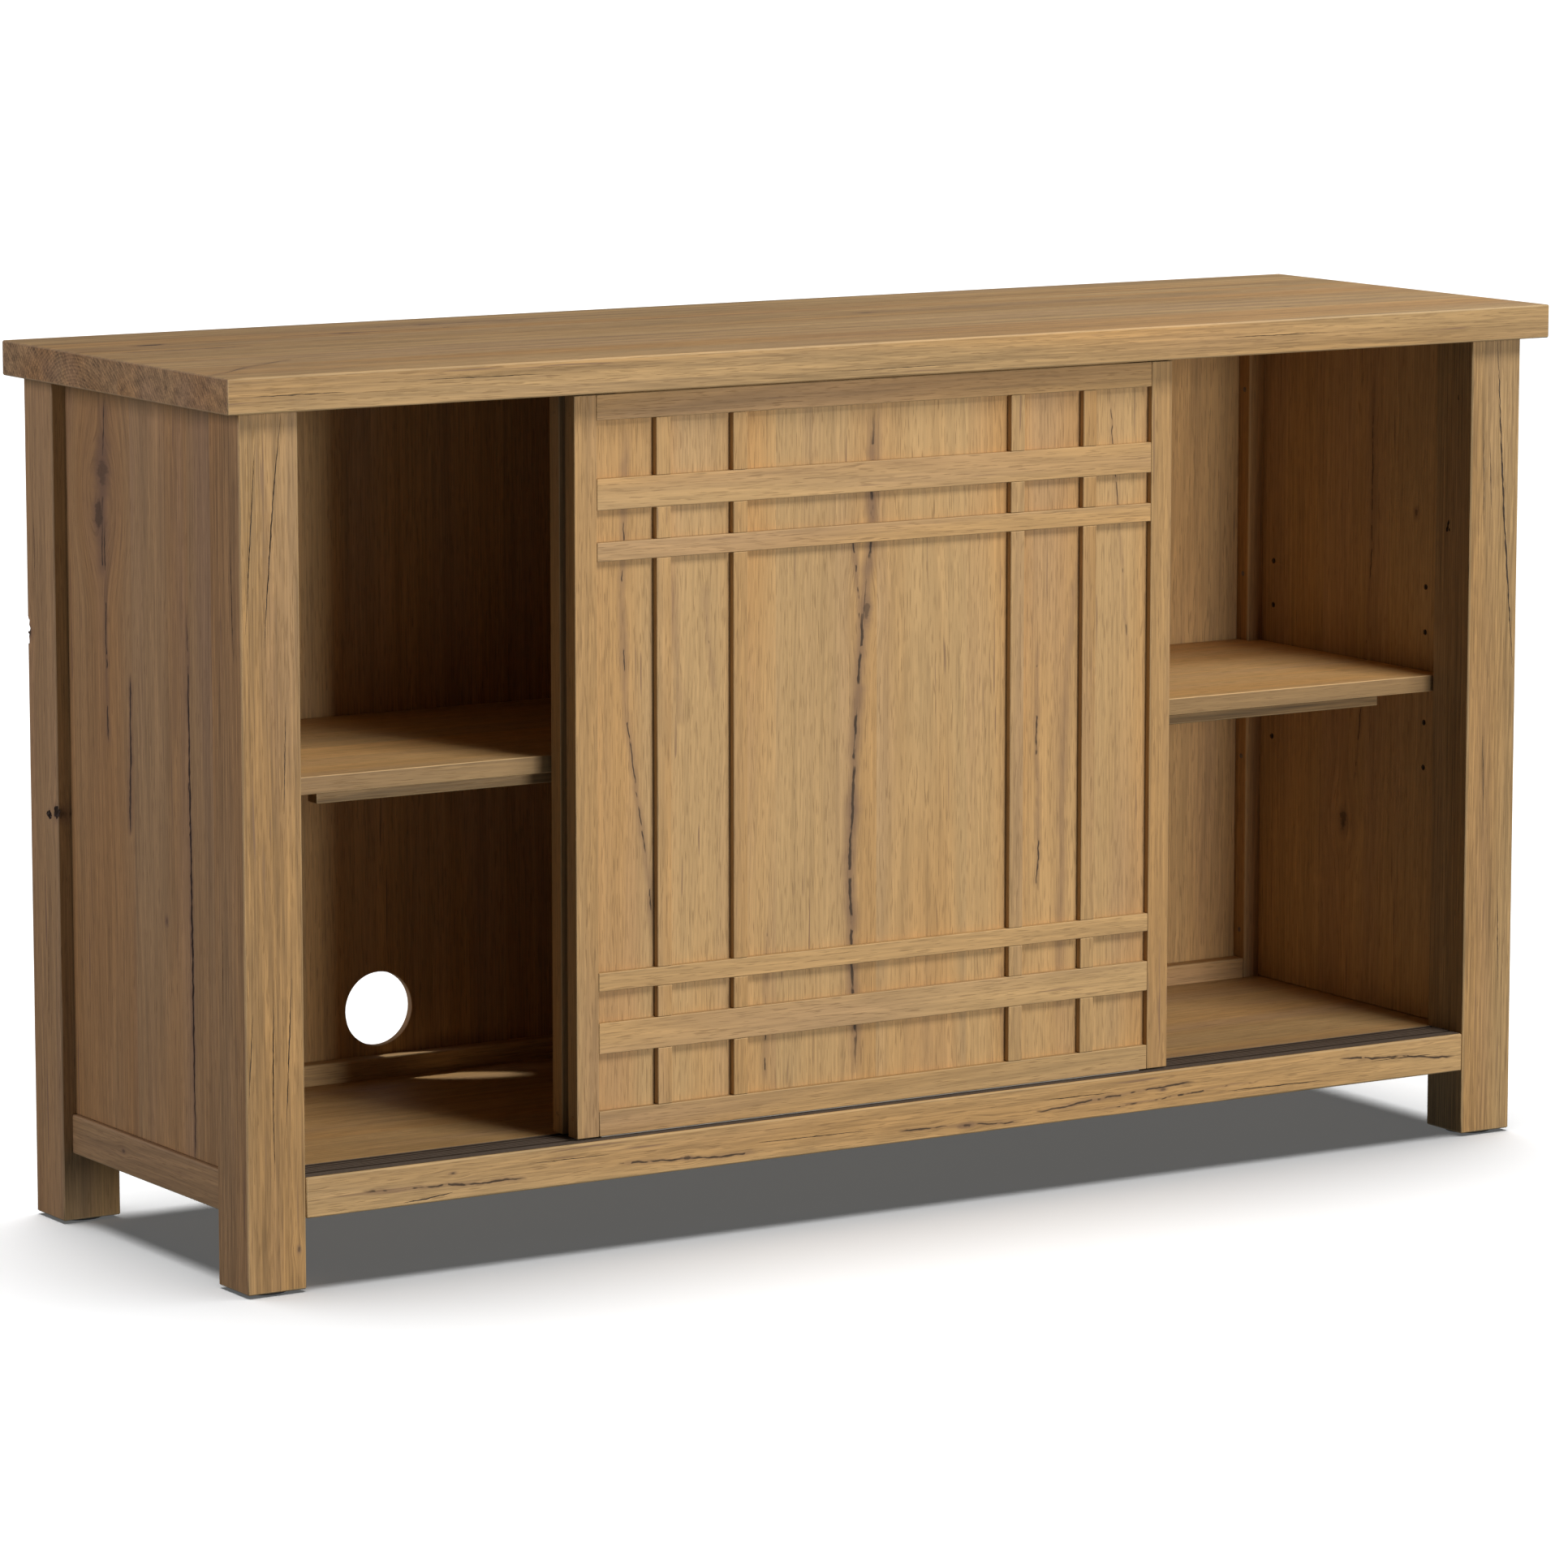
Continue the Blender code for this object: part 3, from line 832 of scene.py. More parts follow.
@dataclass(frozen=True)
class BoardMaker:
    """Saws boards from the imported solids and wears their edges.

    Attributes:
        square_ease: How far a square edge is rounded.
        chamfer_ease: How far the edges of a chamfer are rounded.
        pitch: The distance between the sections that a board is worn at.
        wear: How deep the wear at an edge goes.
        dent: How deep the odd knock goes.
        level_within: Degrees within which two faces count as one.
        crisp_over: Degrees past which an edge is shaded as sharp.
    """

    square_ease: float = 0.0006
    chamfer_ease: float = 0.00035
    pitch: float = 0.018
    wear: float = 0.00045
    dent: float = 0.0011
    level_within: float = 0.4
    crisp_over: float = 50.0

    def make(self, board: Board, finishes: Finishes) -> bpy.types.Object:
        """Makes a board and hands it to the frame.

        Args:
            board: The board.
            finishes: The finishes that it is dressed from.

        Returns:
            The finished piece.
        """
        form = bmesh.new()
        form.from_mesh(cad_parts[board.node].data)
        bmesh.ops.remove_doubles(form, verts=form.verts, dist=MERGE)
        bmesh.ops.dissolve_limit(
            form, angle_limit=math.radians(self.level_within), verts=form.verts, edges=form.edges
        )
        self._ease_edges(form)
        self._cut_sections(form, board)
        self._wear_edges(form, board)
        self._mark_wear_and_painted_light(form)
        mesh = bpy.data.meshes.new(board.node)
        form.to_mesh(mesh)
        form.free()
        piece = new_object(f"{board.node}_board", mesh)
        if board.checks or board.holes:
            self._open_checks(piece, board)
        piece.data.set_sharp_from_angle(angle=math.radians(self.crisp_over))
        weighted = piece.modifiers.new("weighted_normals", "WEIGHTED_NORMAL")
        weighted.keep_sharp = True
        settled(piece)
        piece.data.materials.clear()
        piece.data.materials.append(finishes.oak.material(board))
        present(piece, board.body, [board.node])
        return piece

    def _ease_edges(self, form: bmesh.types.BMesh) -> None:
        """Rounds square edges, and more lightly the edges of chamfers.

        Args:
            form: The board's mesh.
        """
        for least, most, offset, steps in (
            (80, 100, self.square_ease, 2), (40, 50, self.chamfer_ease, 1),
        ):
            edges = [
                edge
                for edge in form.edges
                if edge.is_manifold
                and edge.is_convex
                and least <= math.degrees(edge.calc_face_angle()) <= most
                and edge.calc_length() > 4 * offset
            ]
            if edges:
                bmesh.ops.bevel(
                    form, geom=edges, offset=offset, offset_type="OFFSET", segments=steps, profile=0.5,
                    affect="EDGES", clamp_overlap=True,
                )

    def _cut_sections(self, form: bmesh.types.BMesh, board: Board) -> None:
        """Adds sections along the grain, so that the edges can wander.

        Args:
            form: The board's mesh.
            board: The board.
        """
        low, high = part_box(board.node)
        axis = board.grain.value
        normal = Vector((0, 0, 0))
        normal[axis] = 1.0
        count = max(1, int((high[axis] - low[axis]) / self.pitch))
        for number in range(1, count):
            point = Vector((0, 0, 0))
            point[axis] = low[axis] + (high[axis] - low[axis]) * number / count
            geometry = [*form.verts, *form.edges, *form.faces]
            bmesh.ops.bisect_plane(form, geom=geometry, dist=MERGE, plane_co=point, plane_no=normal)

    def _wear_edges(self, form: bmesh.types.BMesh, board: Board) -> None:
        """Takes a little off along the edges, unevenly, with the odd knock.

        Args:
            form: The board's mesh.
            board: The board, whose name seeds the wear.
        """
        form.normal_update()
        draw = random.Random(board.node)
        shift = Vector([draw.uniform(-50, 50) for _ in range(3)])
        moves = []
        for vert in form.verts:
            inward = -vert.normal
            for face in vert.link_faces:
                for axis in Axis:
                    if abs(face.normal[axis.value]) > FLAT:
                        inward[axis.value] = 0.0
            if inward.length < 0.05:
                continue
            rub = 0.5 + 0.5 * noise.noise(vert.co * 38.0 + shift)
            knock = max(0.0, noise.noise(vert.co * 17.0 - shift) - 0.42) / 0.58
            moves.append((vert, inward.normalized() * (self.wear * rub + self.dent * knock)))
        for vert, move in moves:
            vert.co += move

    @staticmethod
    def _mark_wear_and_painted_light(form: bmesh.types.BMesh) -> None:
        """Stores the mark that pales the rounded edges, partly as wear and partly as a painted
        highlight: 1 on them and 0 elsewhere.

        Args:
            form: The board's mesh.
        """
        layer = form.faces.layers.float.new(WEAR_AND_PAINTED_LIGHT_MARK)
        for face in form.faces:
            face.normal_update()
            face.smooth = True
            face[layer] = 1.0 if max(abs(part) for part in face.normal) < FLAT else 0.0

    def _open_checks(self, piece: bpy.types.Object, board: Board) -> None:
        """Cuts the board's checks, as ragged wedges that taper to both ends, and its holes.

        Args:
            piece: The board's piece.
            board: The board.
        """
        form = bmesh.new()
        layer = form.faces.layers.float.new(WEAR_AND_PAINTED_LIGHT_MARK)
        draw = random.Random(f"{board.node} checks")
        for check in board.checks:
            self._add_wedge(form, board, check, draw)
        for hole in board.holes:
            self._add_hollow(form, hole, draw)
        # Marking the cut faces -1 makes the oak paint them near black: painted shade inside the cracks
        # and holes.
        for face in form.faces:
            face[layer] = -1.0
        bmesh.ops.recalc_face_normals(form, faces=form.faces)
        mesh = bpy.data.meshes.new("check_cutter")
        form.to_mesh(mesh)
        form.free()
        cutter = new_object("check_cutter", mesh)
        boolean = piece.modifiers.new("checks", "BOOLEAN")
        boolean.operation = "DIFFERENCE"
        boolean.solver = "EXACT"
        boolean.object = cutter
        settled(piece)
        bpy.data.objects.remove(cutter)

    def _add_wedge(
        self, form: bmesh.types.BMesh, board: Board, check: Check, draw: random.Random
    ) -> None:
        """Adds the wedge of one check to the cutter.

        Args:
            form: The cutter.
            board: The board that it cuts.
            check: The check.
            draw: The source of the raggedness.
        """
        face = check.face or board.thickness
        across = next(axis for axis in Axis if axis not in (board.grain, face))
        low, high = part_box(board.node)
        surface = (low if check.side is Side.LOW else high)[face.value]
        sign = check.side.value
        path = self._walk(check.path, 0.005)
        rows = []
        for number, (along, aside) in enumerate(path):
            share = number / (len(path) - 1)
            swell = math.sin(math.pi * min(max(share, 0.012), 0.988)) ** 0.6
            half = check.width * 0.8 * swell * draw.uniform(0.55, 1.15)
            aside += draw.uniform(-1, 1) * check.width * 0.35
            deep = check.depth * swell * draw.uniform(0.8, 1.1)
            row = []
            for offset, level in ((-1.3, 0.3 * deep), (1.3, 0.3 * deep), (0.0, -deep)):
                point = [0.0, 0.0, 0.0]
                point[board.grain.value] = along
                point[across.value] = aside + offset * half
                point[face.value] = surface + sign * level
                row.append(form.verts.new(point))
            rows.append(row)
        for first, second in zip(rows, rows[1:]):
            for this, after in ((0, 1), (1, 2), (2, 0)):
                form.faces.new((first[this], first[after], second[after], second[this]))
        form.faces.new(rows[0])
        form.faces.new(reversed(rows[-1]))

    @staticmethod
    def _add_hollow(form: bmesh.types.BMesh, hole: Hole, draw: random.Random) -> None:
        """Adds the rough hollow of a hole to the cutter.

        Args:
            form: The cutter.
            hole: The hole.
            draw: The source of the roughness.
        """
        ball = bmesh.ops.create_icosphere(form, subdivisions=3, radius=1.0)
        shift = Vector([draw.uniform(-50, 50) for _ in range(3)])
        for vert in ball["verts"]:
            rough = 1.0 + 0.55 * noise.noise(vert.co * 1.9 + shift)
            rough += 0.25 * noise.noise(vert.co * 5.0 - shift)
            spread = [part * rough * reach for part, reach in zip(vert.co, hole.reach)]
            vert.co = Vector(hole.place) + Vector(spread)

    @staticmethod
    def _walk(path: Sequence[tuple[float, float]], step: float) -> list[tuple[float, float]]:
        """Sets out points along a path.

        Args:
            path: The path's corners.
            step: About how far apart the points are.

        Returns:
            The points, with every corner among them.
        """
        points: list[tuple[float, float]] = []
        for start, end in zip(path, path[1:]):
            count = max(1, round(math.dist(start, end) / step))
            for number in range(count):
                share = number / count
                points.append(
                    (start[0] + (end[0] - start[0]) * share, start[1] + (end[1] - start[1]) * share)
                )
        points.append(path[-1])
        return points


@dataclass
class SlabTop:
    """The slab: edge-glued planks with a few small knots."""

    finishes: Finishes
    maker: BoardMaker = field(default_factory=BoardMaker)
    seams: tuple[float, ...] = (-0.128, -0.012, 0.104)

    def build(self) -> None:
        """Makes the slab."""
        board = Board(
            "top_slab", Axis.X, Axis.Y, slot="oak_veneer", seams=self.seams, pith=(0.05, -0.09),
            tone=0.85, warmth=0.5, fibre=1.2, figure=1.9, brushed=0.55, flecked=True,
            streaks=(
                Streak(((-0.76, -0.205), (-0.70, -0.150), (-0.62, -0.085)), 0.008, 0.6, 0.0010),
                Streak(((-0.73, 0.052), (-0.66, 0.046), (-0.58, 0.056)), 0.009, 0.6, 0.0012),
                Streak(((-0.52, 0.128), (-0.40, 0.124), (-0.31, 0.131)), 0.008, 0.5, 0.0008),
                Streak(((-0.40, 0.170), (-0.30, 0.168), (-0.20, 0.160)), 0.007, 0.45, 0.0008),
                Streak(((-0.34, -0.040), (-0.20, -0.052), (-0.05, -0.045)), 0.007, 0.30, 0.0),
                Streak(((0.02, -0.062), (0.20, -0.070), (0.32, -0.066)), 0.004, 0.3, 0.0),
            ),
            knots=(
                Knot(-0.664, 0.108, 0.034, 0.012, 1.0), Knot(-0.442, 0.126, 0.036, 0.012, 0.8),
                Knot(-0.330, 0.168, 0.026, 0.010, 0.9), Knot(0.115, 0.054, 0.022, 0.009, 0.8),
                Knot(0.520, -0.110, 0.014, 0.006, 0.6),
            ),
            checks=(
                Check(((-0.700, -0.2155), (-0.560, -0.2150)), 0.0005, 0.002, Side.HIGH),
                Check(((-0.735, 0.846), (-0.640, 0.8455)), 0.0006, 0.003, Side.LOW, Axis.Y),
                Check(((-0.560, 0.853), (-0.430, 0.852)), 0.0005, 0.003, Side.LOW, Axis.Y),
                Check(((-0.100, 0.838), (0.030, 0.8385)), 0.0004, 0.002, Side.LOW, Axis.Y),
                Check(((0.360, 0.849), (0.480, 0.8485)), 0.0005, 0.002, Side.LOW, Axis.Y),
            ),
        )
        self.maker.make(board, self.finishes)


@dataclass
class Legs:
    """The four square legs with their long checks, and the glides under them."""

    finishes: Finishes
    maker: BoardMaker = field(default_factory=BoardMaker)

    def build(self) -> None:
        """Makes the legs and dresses the glides."""
        for board in (self.front_left(), self.front_right(), self.rear_left(), self.rear_right()):
            self.maker.make(board, self.finishes)
        for end in ("front", "rear"):
            for side in ("left", "right"):
                dress(f"glide_{end}_{side}", self.finishes.satin(Finishes.glide))

    @staticmethod
    def front_left() -> Board:
        """The leg nearest the viewer, checked at both ends of its front face."""
        return Board(
            "leg_front_left", Axis.Z, Axis.X, pith=(0.012, 0.05), tone=0.80, warmth=0.22, fibre=1.6,
            brushed=0.9,
            checks=(
                Check(((0.825, -0.697), (0.759, -0.705), (0.611, -0.717)), 0.0009, 0.006),
                Check(((0.800, -0.724), (0.729, -0.729), (0.625, -0.736)), 0.0007, 0.004),
                Check(((0.300, -0.711), (0.188, -0.7125), (0.110, -0.712)), 0.0008, 0.005),
                Check(((0.300, -0.692), (0.160, -0.699)), 0.0008, 0.004),
                Check(((0.270, -0.733), (0.190, -0.738)), 0.0007, 0.003),
                Check(((0.560, -0.695), (0.455, -0.698)), 0.0006, 0.003),
                Check(((0.712, -0.196), (0.597, -0.200)), 0.0009, 0.004, Side.LOW, Axis.X),
                Check(((0.360, -0.172), (0.250, -0.170)), 0.0006, 0.003, Side.LOW, Axis.X),
            ),
            knots=(Knot(0.042, -0.687, 0.007, 0.004, 0.6),),
            streaks=(Streak(((0.78, -0.716), (0.60, -0.708), (0.42, -0.704)), 0.009, 0.22, 0.0),),
        )

    @staticmethod
    def front_right() -> Board:
        """The leg with a check that runs out at its outer edge."""
        return Board(
            "leg_front_right", Axis.Z, Axis.X, pith=(-0.014, 0.06), tone=0.72, warmth=0.5, fibre=1.6,
            brushed=0.9,
            checks=(
                Check(((0.826, 0.711), (0.654, 0.722), (0.488, 0.7365)), 0.0014, 0.008),
                Check(((0.750, 0.694), (0.626, 0.697)), 0.0007, 0.004),
                Check(((0.725, 0.703), (0.655, 0.706)), 0.0006, 0.003),
                Check(((0.420, 0.699), (0.330, 0.702)), 0.0006, 0.003),
                Check(((0.250, 0.722), (0.150, 0.724)), 0.0007, 0.003),
                Check(((0.560, -0.186), (0.410, -0.190)), 0.0008, 0.004, Side.HIGH, Axis.X),
            ),
            holes=(
                Hole((0.680, -0.1776, 0.6335), (0.0012, 0.005, 0.009)),
                Hole((0.680, -0.1921, 0.7689), (0.0010, 0.003, 0.008)),
            ),
        )

    @staticmethod
    def rear_left() -> Board:
        """The leg with a knot on its outer face and a chipped one at its back edge."""
        return Board(
            "leg_rear_left", Axis.Z, Axis.Y, pith=(-0.02, 0.07), tone=0.86, brushed=0.6,
            knots=(
                Knot(0.407, 0.174, 0.016, 0.009, 0.6), Knot(0.580, 0.229, 0.018, 0.011, 0.9),
                Knot(0.404, 0.190, 0.008, 0.005, 0.9),
            ),
            holes=(
                Hole((-0.742, 0.2325, 0.586), (0.007, 0.006, 0.009)),
                Hole((-0.741, 0.2310, 0.572), (0.005, 0.004, 0.006)),
                Hole((-0.742, 0.1735, 0.408), (0.004, 0.006, 0.006)),
                Hole((-0.741, 0.1900, 0.404), (0.003, 0.005, 0.004)),
            ),
            checks=(
                Check(((0.700, 0.215), (0.620, 0.213)), 0.0006, 0.003),
                Check(((0.300, 0.196), (0.180, 0.199)), 0.0007, 0.003),
                Check(((0.620, -0.706), (0.440, -0.711)), 0.0009, 0.005, Side.HIGH, Axis.Y),
            ),
        )

    @staticmethod
    def rear_right() -> Board:
        """The leg behind the right-hand bay."""
        return Board(
            "leg_rear_right", Axis.Z, Axis.Y, pith=(0.02, -0.07), brushed=0.6,
            knots=(Knot(0.300, 0.205, 0.010, 0.006, 0.9),),
            checks=(
                Check(((0.660, 0.206), (0.520, 0.203)), 0.0008, 0.004, Side.HIGH),
                Check(((0.380, 0.705), (0.230, 0.709)), 0.0009, 0.005, Side.HIGH, Axis.Y),
            ),
        )


@dataclass
class Case:
    """The panels, rails, floor, back, divider and shelves."""

    finishes: Finishes
    maker: BoardMaker = field(default_factory=BoardMaker)

    def build(self) -> None:
        """Makes the boards of the case and dresses the metal in it."""
        for board in (*self.sides(), *self.rails(), *self.insides()):
            self.maker.make(board, self.finishes)
        for name in ("bottom_track", "top_track"):
            dress(name, self.finishes.satin(Finishes.track))
        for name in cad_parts:
            if name.startswith("shelf_support"):
                dress(name, self.finishes.satin(Finishes.nickel))

    @staticmethod
    def sides() -> Iterable[Board]:
        """The end panels and their stretchers."""
        yield Board(
            "side_panel_left", Axis.Z, Axis.Y, slot="oak_veneer", seams=(-0.082, 0.035),
            pith=(0.0, 0.16), tone=0.86, warmth=0.25, brushed=0.3,
            knots=(
                Knot(0.745, 0.094, 0.046, 0.030, 0.45), Knot(0.705, 0.102, 0.036, 0.020, 0.65),
                Knot(0.330, -0.030, 0.010, 0.006, 0.4),
            ),
            streaks=(
                Streak(((0.820, 0.086), (0.740, 0.094), (0.640, 0.096)), 0.022, 0.7, 0.0011, 0.4),
                Streak(((0.700, 0.090), (0.593, 0.090), (0.480, 0.088)), 0.009, 0.5, 0.0011, 0.35),
                Streak(((0.560, 0.040), (0.462, 0.042), (0.400, 0.045)), 0.009, 0.6, 0.0015, 0.1),
                Streak(((0.640, -0.079), (0.400, -0.081), (0.085, -0.083)), 0.007, 0.6, 0.0010, 0.1),
                Streak(((0.780, -0.050), (0.640, -0.056), (0.500, -0.050)), 0.010, 0.22, 0.0),
            ),
            checks=(
                Check(((0.578, -0.080), (0.400, -0.0815), (0.125, -0.083)), 0.0024, 0.006),
                Check(((0.500, 0.0415), (0.440, 0.0425)), 0.0012, 0.004),
            ),
        )
        yield Board(
            "side_panel_right", Axis.Z, Axis.Y, slot="oak_veneer", seams=(-0.055, 0.060),
            pith=(0.02, -0.15), tone=0.96, warmth=0.05,
            knots=(Knot(0.300, 0.020, 0.026, 0.014, 0.7), Knot(0.640, -0.100, 0.012, 0.007, 0.6)),
            streaks=(Streak(((0.78, -0.02), (0.55, -0.03), (0.33, 0.01)), 0.006, 0.45, 0.0007),),
            checks=(Check(((0.520, 0.0605), (0.250, 0.060)), 0.0012, 0.005, Side.HIGH),),
        )
        for side, across in (("left", 0.092), ("right", 0.088)):
            yield Board(
                f"side_stretcher_{side}", Axis.Y, Axis.Z, pith=(0.01, 0.09), tone=0.80, brushed=0.7,
                knots=(Knot(0.060, across, 0.008, 0.004, 0.5),),
            )

    @staticmethod
    def rails() -> Iterable[Board]:
        """The front and rear rails."""
        yield Board(
            "front_rail", Axis.X, Axis.Z, pith=(0.008, 0.07), tone=0.92, warmth=0.5, fibre=1.4,
            brushed=1.0,
            streaks=(
                Streak(((0.14, 0.083), (0.24, 0.090), (0.34, 0.096)), 0.004, 0.5, 0.0008, 0.35),
                Streak(((0.22, 0.076), (0.33, 0.084), (0.42, 0.088)), 0.003, 0.4, 0.0007, 0.45),
                Streak(((-0.62, 0.090), (-0.53, 0.084), (-0.44, 0.082)), 0.004, 0.5, 0.0009, 0.4),
                Streak(((-0.34, 0.086), (-0.26, 0.081), (-0.18, 0.079)), 0.004, 0.5, 0.0008, 0.4),
                Streak(((0.52, 0.098), (0.60, 0.093), (0.67, 0.084)), 0.004, 0.5, 0.0009, 0.3),
                Streak(((-0.02, 0.082), (0.06, 0.080), (0.13, 0.076)), 0.004, 0.4, 0.0007, 0.4),
            ),
            knots=(
                Knot(-0.522, 0.096, 0.009, 0.003, 0.8), Knot(-0.262, 0.082, 0.012, 0.004, 0.8),
                Knot(0.061, 0.079, 0.014, 0.005, 0.8), Knot(0.300, 0.090, 0.009, 0.003, 0.5),
            ),
            checks=(
                Check(((-0.575, 0.0735), (-0.550, 0.0745), (-0.522, 0.0775)), 0.0009, 0.003),
                Check(((-0.440, 0.096), (-0.350, 0.095)), 0.0005, 0.003),
                Check(((-0.180, 0.088), (-0.060, 0.0865)), 0.0006, 0.003),
                Check(((0.150, 0.0945), (0.240, 0.0935)), 0.0006, 0.003),
                Check(((0.380, 0.080), (0.500, 0.0785)), 0.0007, 0.003),
                Check(((0.560, 0.092), (0.640, 0.0915)), 0.0006, 0.003),
            ),
        )
        yield Board(
            "rear_rail", Axis.X, Axis.Z, pith=(0.0, -0.08), brushed=0.4,
            checks=(Check(((-0.300, 0.100), (-0.180, 0.102)), 0.0008, 0.003, Side.HIGH),),
        )

    @staticmethod
    def insides() -> Iterable[Board]:
        """The floor, the back, the divider, the shelves and their stiffeners."""
        yield Board(
            "floor_panel", Axis.X, Axis.Y, slot="oak_veneer", seams=(-0.065, 0.050), pith=(0.0, -0.16),
            tone=0.88, warmth=0.08, brushed=0.1,
        )
        yield Board(
            "back_panel", Axis.Z, Axis.X, slot="oak_veneer", seams=(-0.460, -0.230, 0.0, 0.230, 0.460),
            pith=(0.60, -0.30), tone=1.04, warmth=0.1, figure=1.3, brushed=0.1,
        )
        yield Board(
            "centre_divider", Axis.Z, Axis.Y, slot="oak_veneer", seams=(0.02,), pith=(0.3, 0.2),
            brushed=0.1,
        )
        # The shelves are lightened as painted light, their long edges darkened as painted shade, and
        # the stiffeners darkened as painted shade.
        for side, seam, tone, painted_edge_shade in (("left", 0.010, 1.14, 0.52), ("right", -0.006, 1.35, 0.42)):
            yield Board(
                f"shelf_{side}", Axis.X, Axis.Y, slot="oak_veneer", seams=(seam,), pith=(0.03, -0.11),
                tone=tone, warmth=0.30, brushed=0.15, painted_edge_shade=painted_edge_shade,
            )
            yield Board(f"shelf_stiffener_{side}", Axis.X, Axis.Z, pith=(0.0, 0.1), tone=0.55)


@dataclass
class SlidingDoor:
    """A framed door with its raised grid.

    Attributes:
        place: "front" or "rear".
        finishes: The finishes.
        maker: The board maker.
    """

    place: str
    finishes: Finishes
    maker: BoardMaker = field(default_factory=lambda: BoardMaker(wear=0.0002, dent=0.0005))

    def build(self) -> None:
        """Makes the door's boards and dresses its runner."""
        for board in (self.panel(), *self.frame(), *self.grid()):
            self.maker.make(board, self.finishes)
        dress(f"{self.body}_runner", self.finishes.satin(Finishes.nylon))

    @property
    def body(self) -> str:
        """The body that the door's pieces move with."""
        return f"door_{self.place}"

    def panel(self) -> Board:
        """The planked panel, with a long split on the front door and quieter wood on the rear."""
        name = f"{self.body}_panel"
        if self.place == "rear":
            return Board(
                name, Axis.Z, Axis.X, self.body, "oak_veneer", seams=(-0.215, -0.090, 0.045, 0.170),
                pith=(0.04, 0.12),
                streaks=(
                    Streak(((0.80, 0.100), (0.55, 0.112), (0.30, 0.104), (0.14, 0.110)), 0.007),
                    Streak(((0.70, -0.180), (0.45, -0.170), (0.25, -0.176)), 0.006, 0.4, 0.0),
                ),
                knots=(Knot(0.42, -0.02, 0.020, 0.010, 0.8),),
            )
        return Board(
            name, Axis.Z, Axis.X, self.body, "oak_veneer", seams=(-0.272, -0.150, -0.034, 0.072, 0.206),
            pith=(0.03, 0.14), tone=1.04, warmth=0.46, fibre=0.75, figure=0.85, brushed=0.05,
            streaks=(
                Streak(
                    (
                        (0.800, -0.318), (0.703, -0.320), (0.613, -0.324), (0.518, -0.318),
                        (0.451, -0.308), (0.387, -0.299), (0.290, -0.287),
                    ),
                    0.0080, 0.50, 0.0007, 0.62,
                ),
                Streak(
                    (
                        (0.805, -0.038), (0.663, -0.040), (0.591, -0.050), (0.495, -0.057),
                        (0.367, -0.066), (0.216, -0.061), (0.136, -0.056),
                    ),
                    0.0125, 0.80, 0.0014, 0.34,
                ),
                Streak(((0.672, -0.064), (0.640, -0.056), (0.590, -0.052)), 0.007, 0.6, 0.0008, 0.3),
                Streak(
                    ((0.662, 0.207), (0.606, 0.203), (0.520, 0.189), (0.345, 0.186), (0.16, 0.182)),
                    0.009, 0.42, 0.0,
                ),
                Streak(
                    ((0.560, 0.157), (0.468, 0.153), (0.380, 0.160), (0.300, 0.154)),
                    0.006, 0.45, 0.0009, 0.7,
                ),
                Streak(((0.665, -0.268), (0.616, -0.266), (0.499, -0.255)), 0.008, 0.32, 0.0),
                Streak(((0.640, -0.231), (0.603, -0.230), (0.530, -0.219)), 0.007, 0.34, 0.0006, 0.8),
                Streak(((0.800, 0.236), (0.600, 0.263), (0.520, 0.263)), 0.004, 0.30, 0.0005, 0.6),
                Streak(((0.300, -0.160), (0.200, -0.163), (0.137, -0.160)), 0.006, 0.35, 0.0006, 0.6),
                Streak(((0.240, 0.110), (0.137, 0.120)), 0.006, 0.30, 0.0),
            ),
            knots=(Knot(0.596, -0.046, 0.024, 0.010, 0.6), Knot(0.520, 0.222, 0.010, 0.005, 0.2)),
            checks=(
                Check(((0.630, -0.0460), (0.600, -0.0490), (0.572, -0.0525)), 0.0005, 0.002),
                Check(((0.505, -0.0565), (0.455, -0.0610)), 0.0006, 0.002),
            ),
        )

    def frame(self) -> Iterable[Board]:
        """The stiles and rails."""
        for end, off in (("left", 0.05), ("right", -0.04)):
            yield Board(
                f"{self.body}_stile_{end}", Axis.Z, Axis.X, self.body, pith=(off, 0.08), tone=0.88,
                warmth=0.3, fibre=0.9, figure=0.8, brushed=0.35,
            )
        for end in ("top", "bottom"):
            yield Board(
                f"{self.body}_rail_{end}", Axis.X, Axis.Z, self.body, pith=(0.02, 0.10), tone=0.94,
                warmth=0.3, fibre=0.9, figure=0.8, brushed=0.25,
            )

    def grid(self) -> Iterable[Board]:
        """The cross bars and uprights."""
        for name in sorted(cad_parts):
            if name.startswith(f"{self.body}_bar") or name.startswith(f"{self.body}_upright"):
                level = name.startswith(f"{self.body}_bar")
                yield Board(
                    name, Axis.X if level else Axis.Z, Axis.Z if level else Axis.X, self.body,
                    pith=(0.02, 0.09), tone=1.04 if level else 0.97, warmth=0.22 if level else 0.34,
                    fibre=0.9, figure=0.8, brushed=0.2,
                )


def dress(node: str, material: bpy.types.Material) -> None:
    """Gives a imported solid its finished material.

    Args:
        node: The solid's name.
        material: The material.
    """
    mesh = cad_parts[node].data
    mesh.materials.clear()
    mesh.materials.append(material)
    LOG.info("%s: dressed in %s", node, material.name)


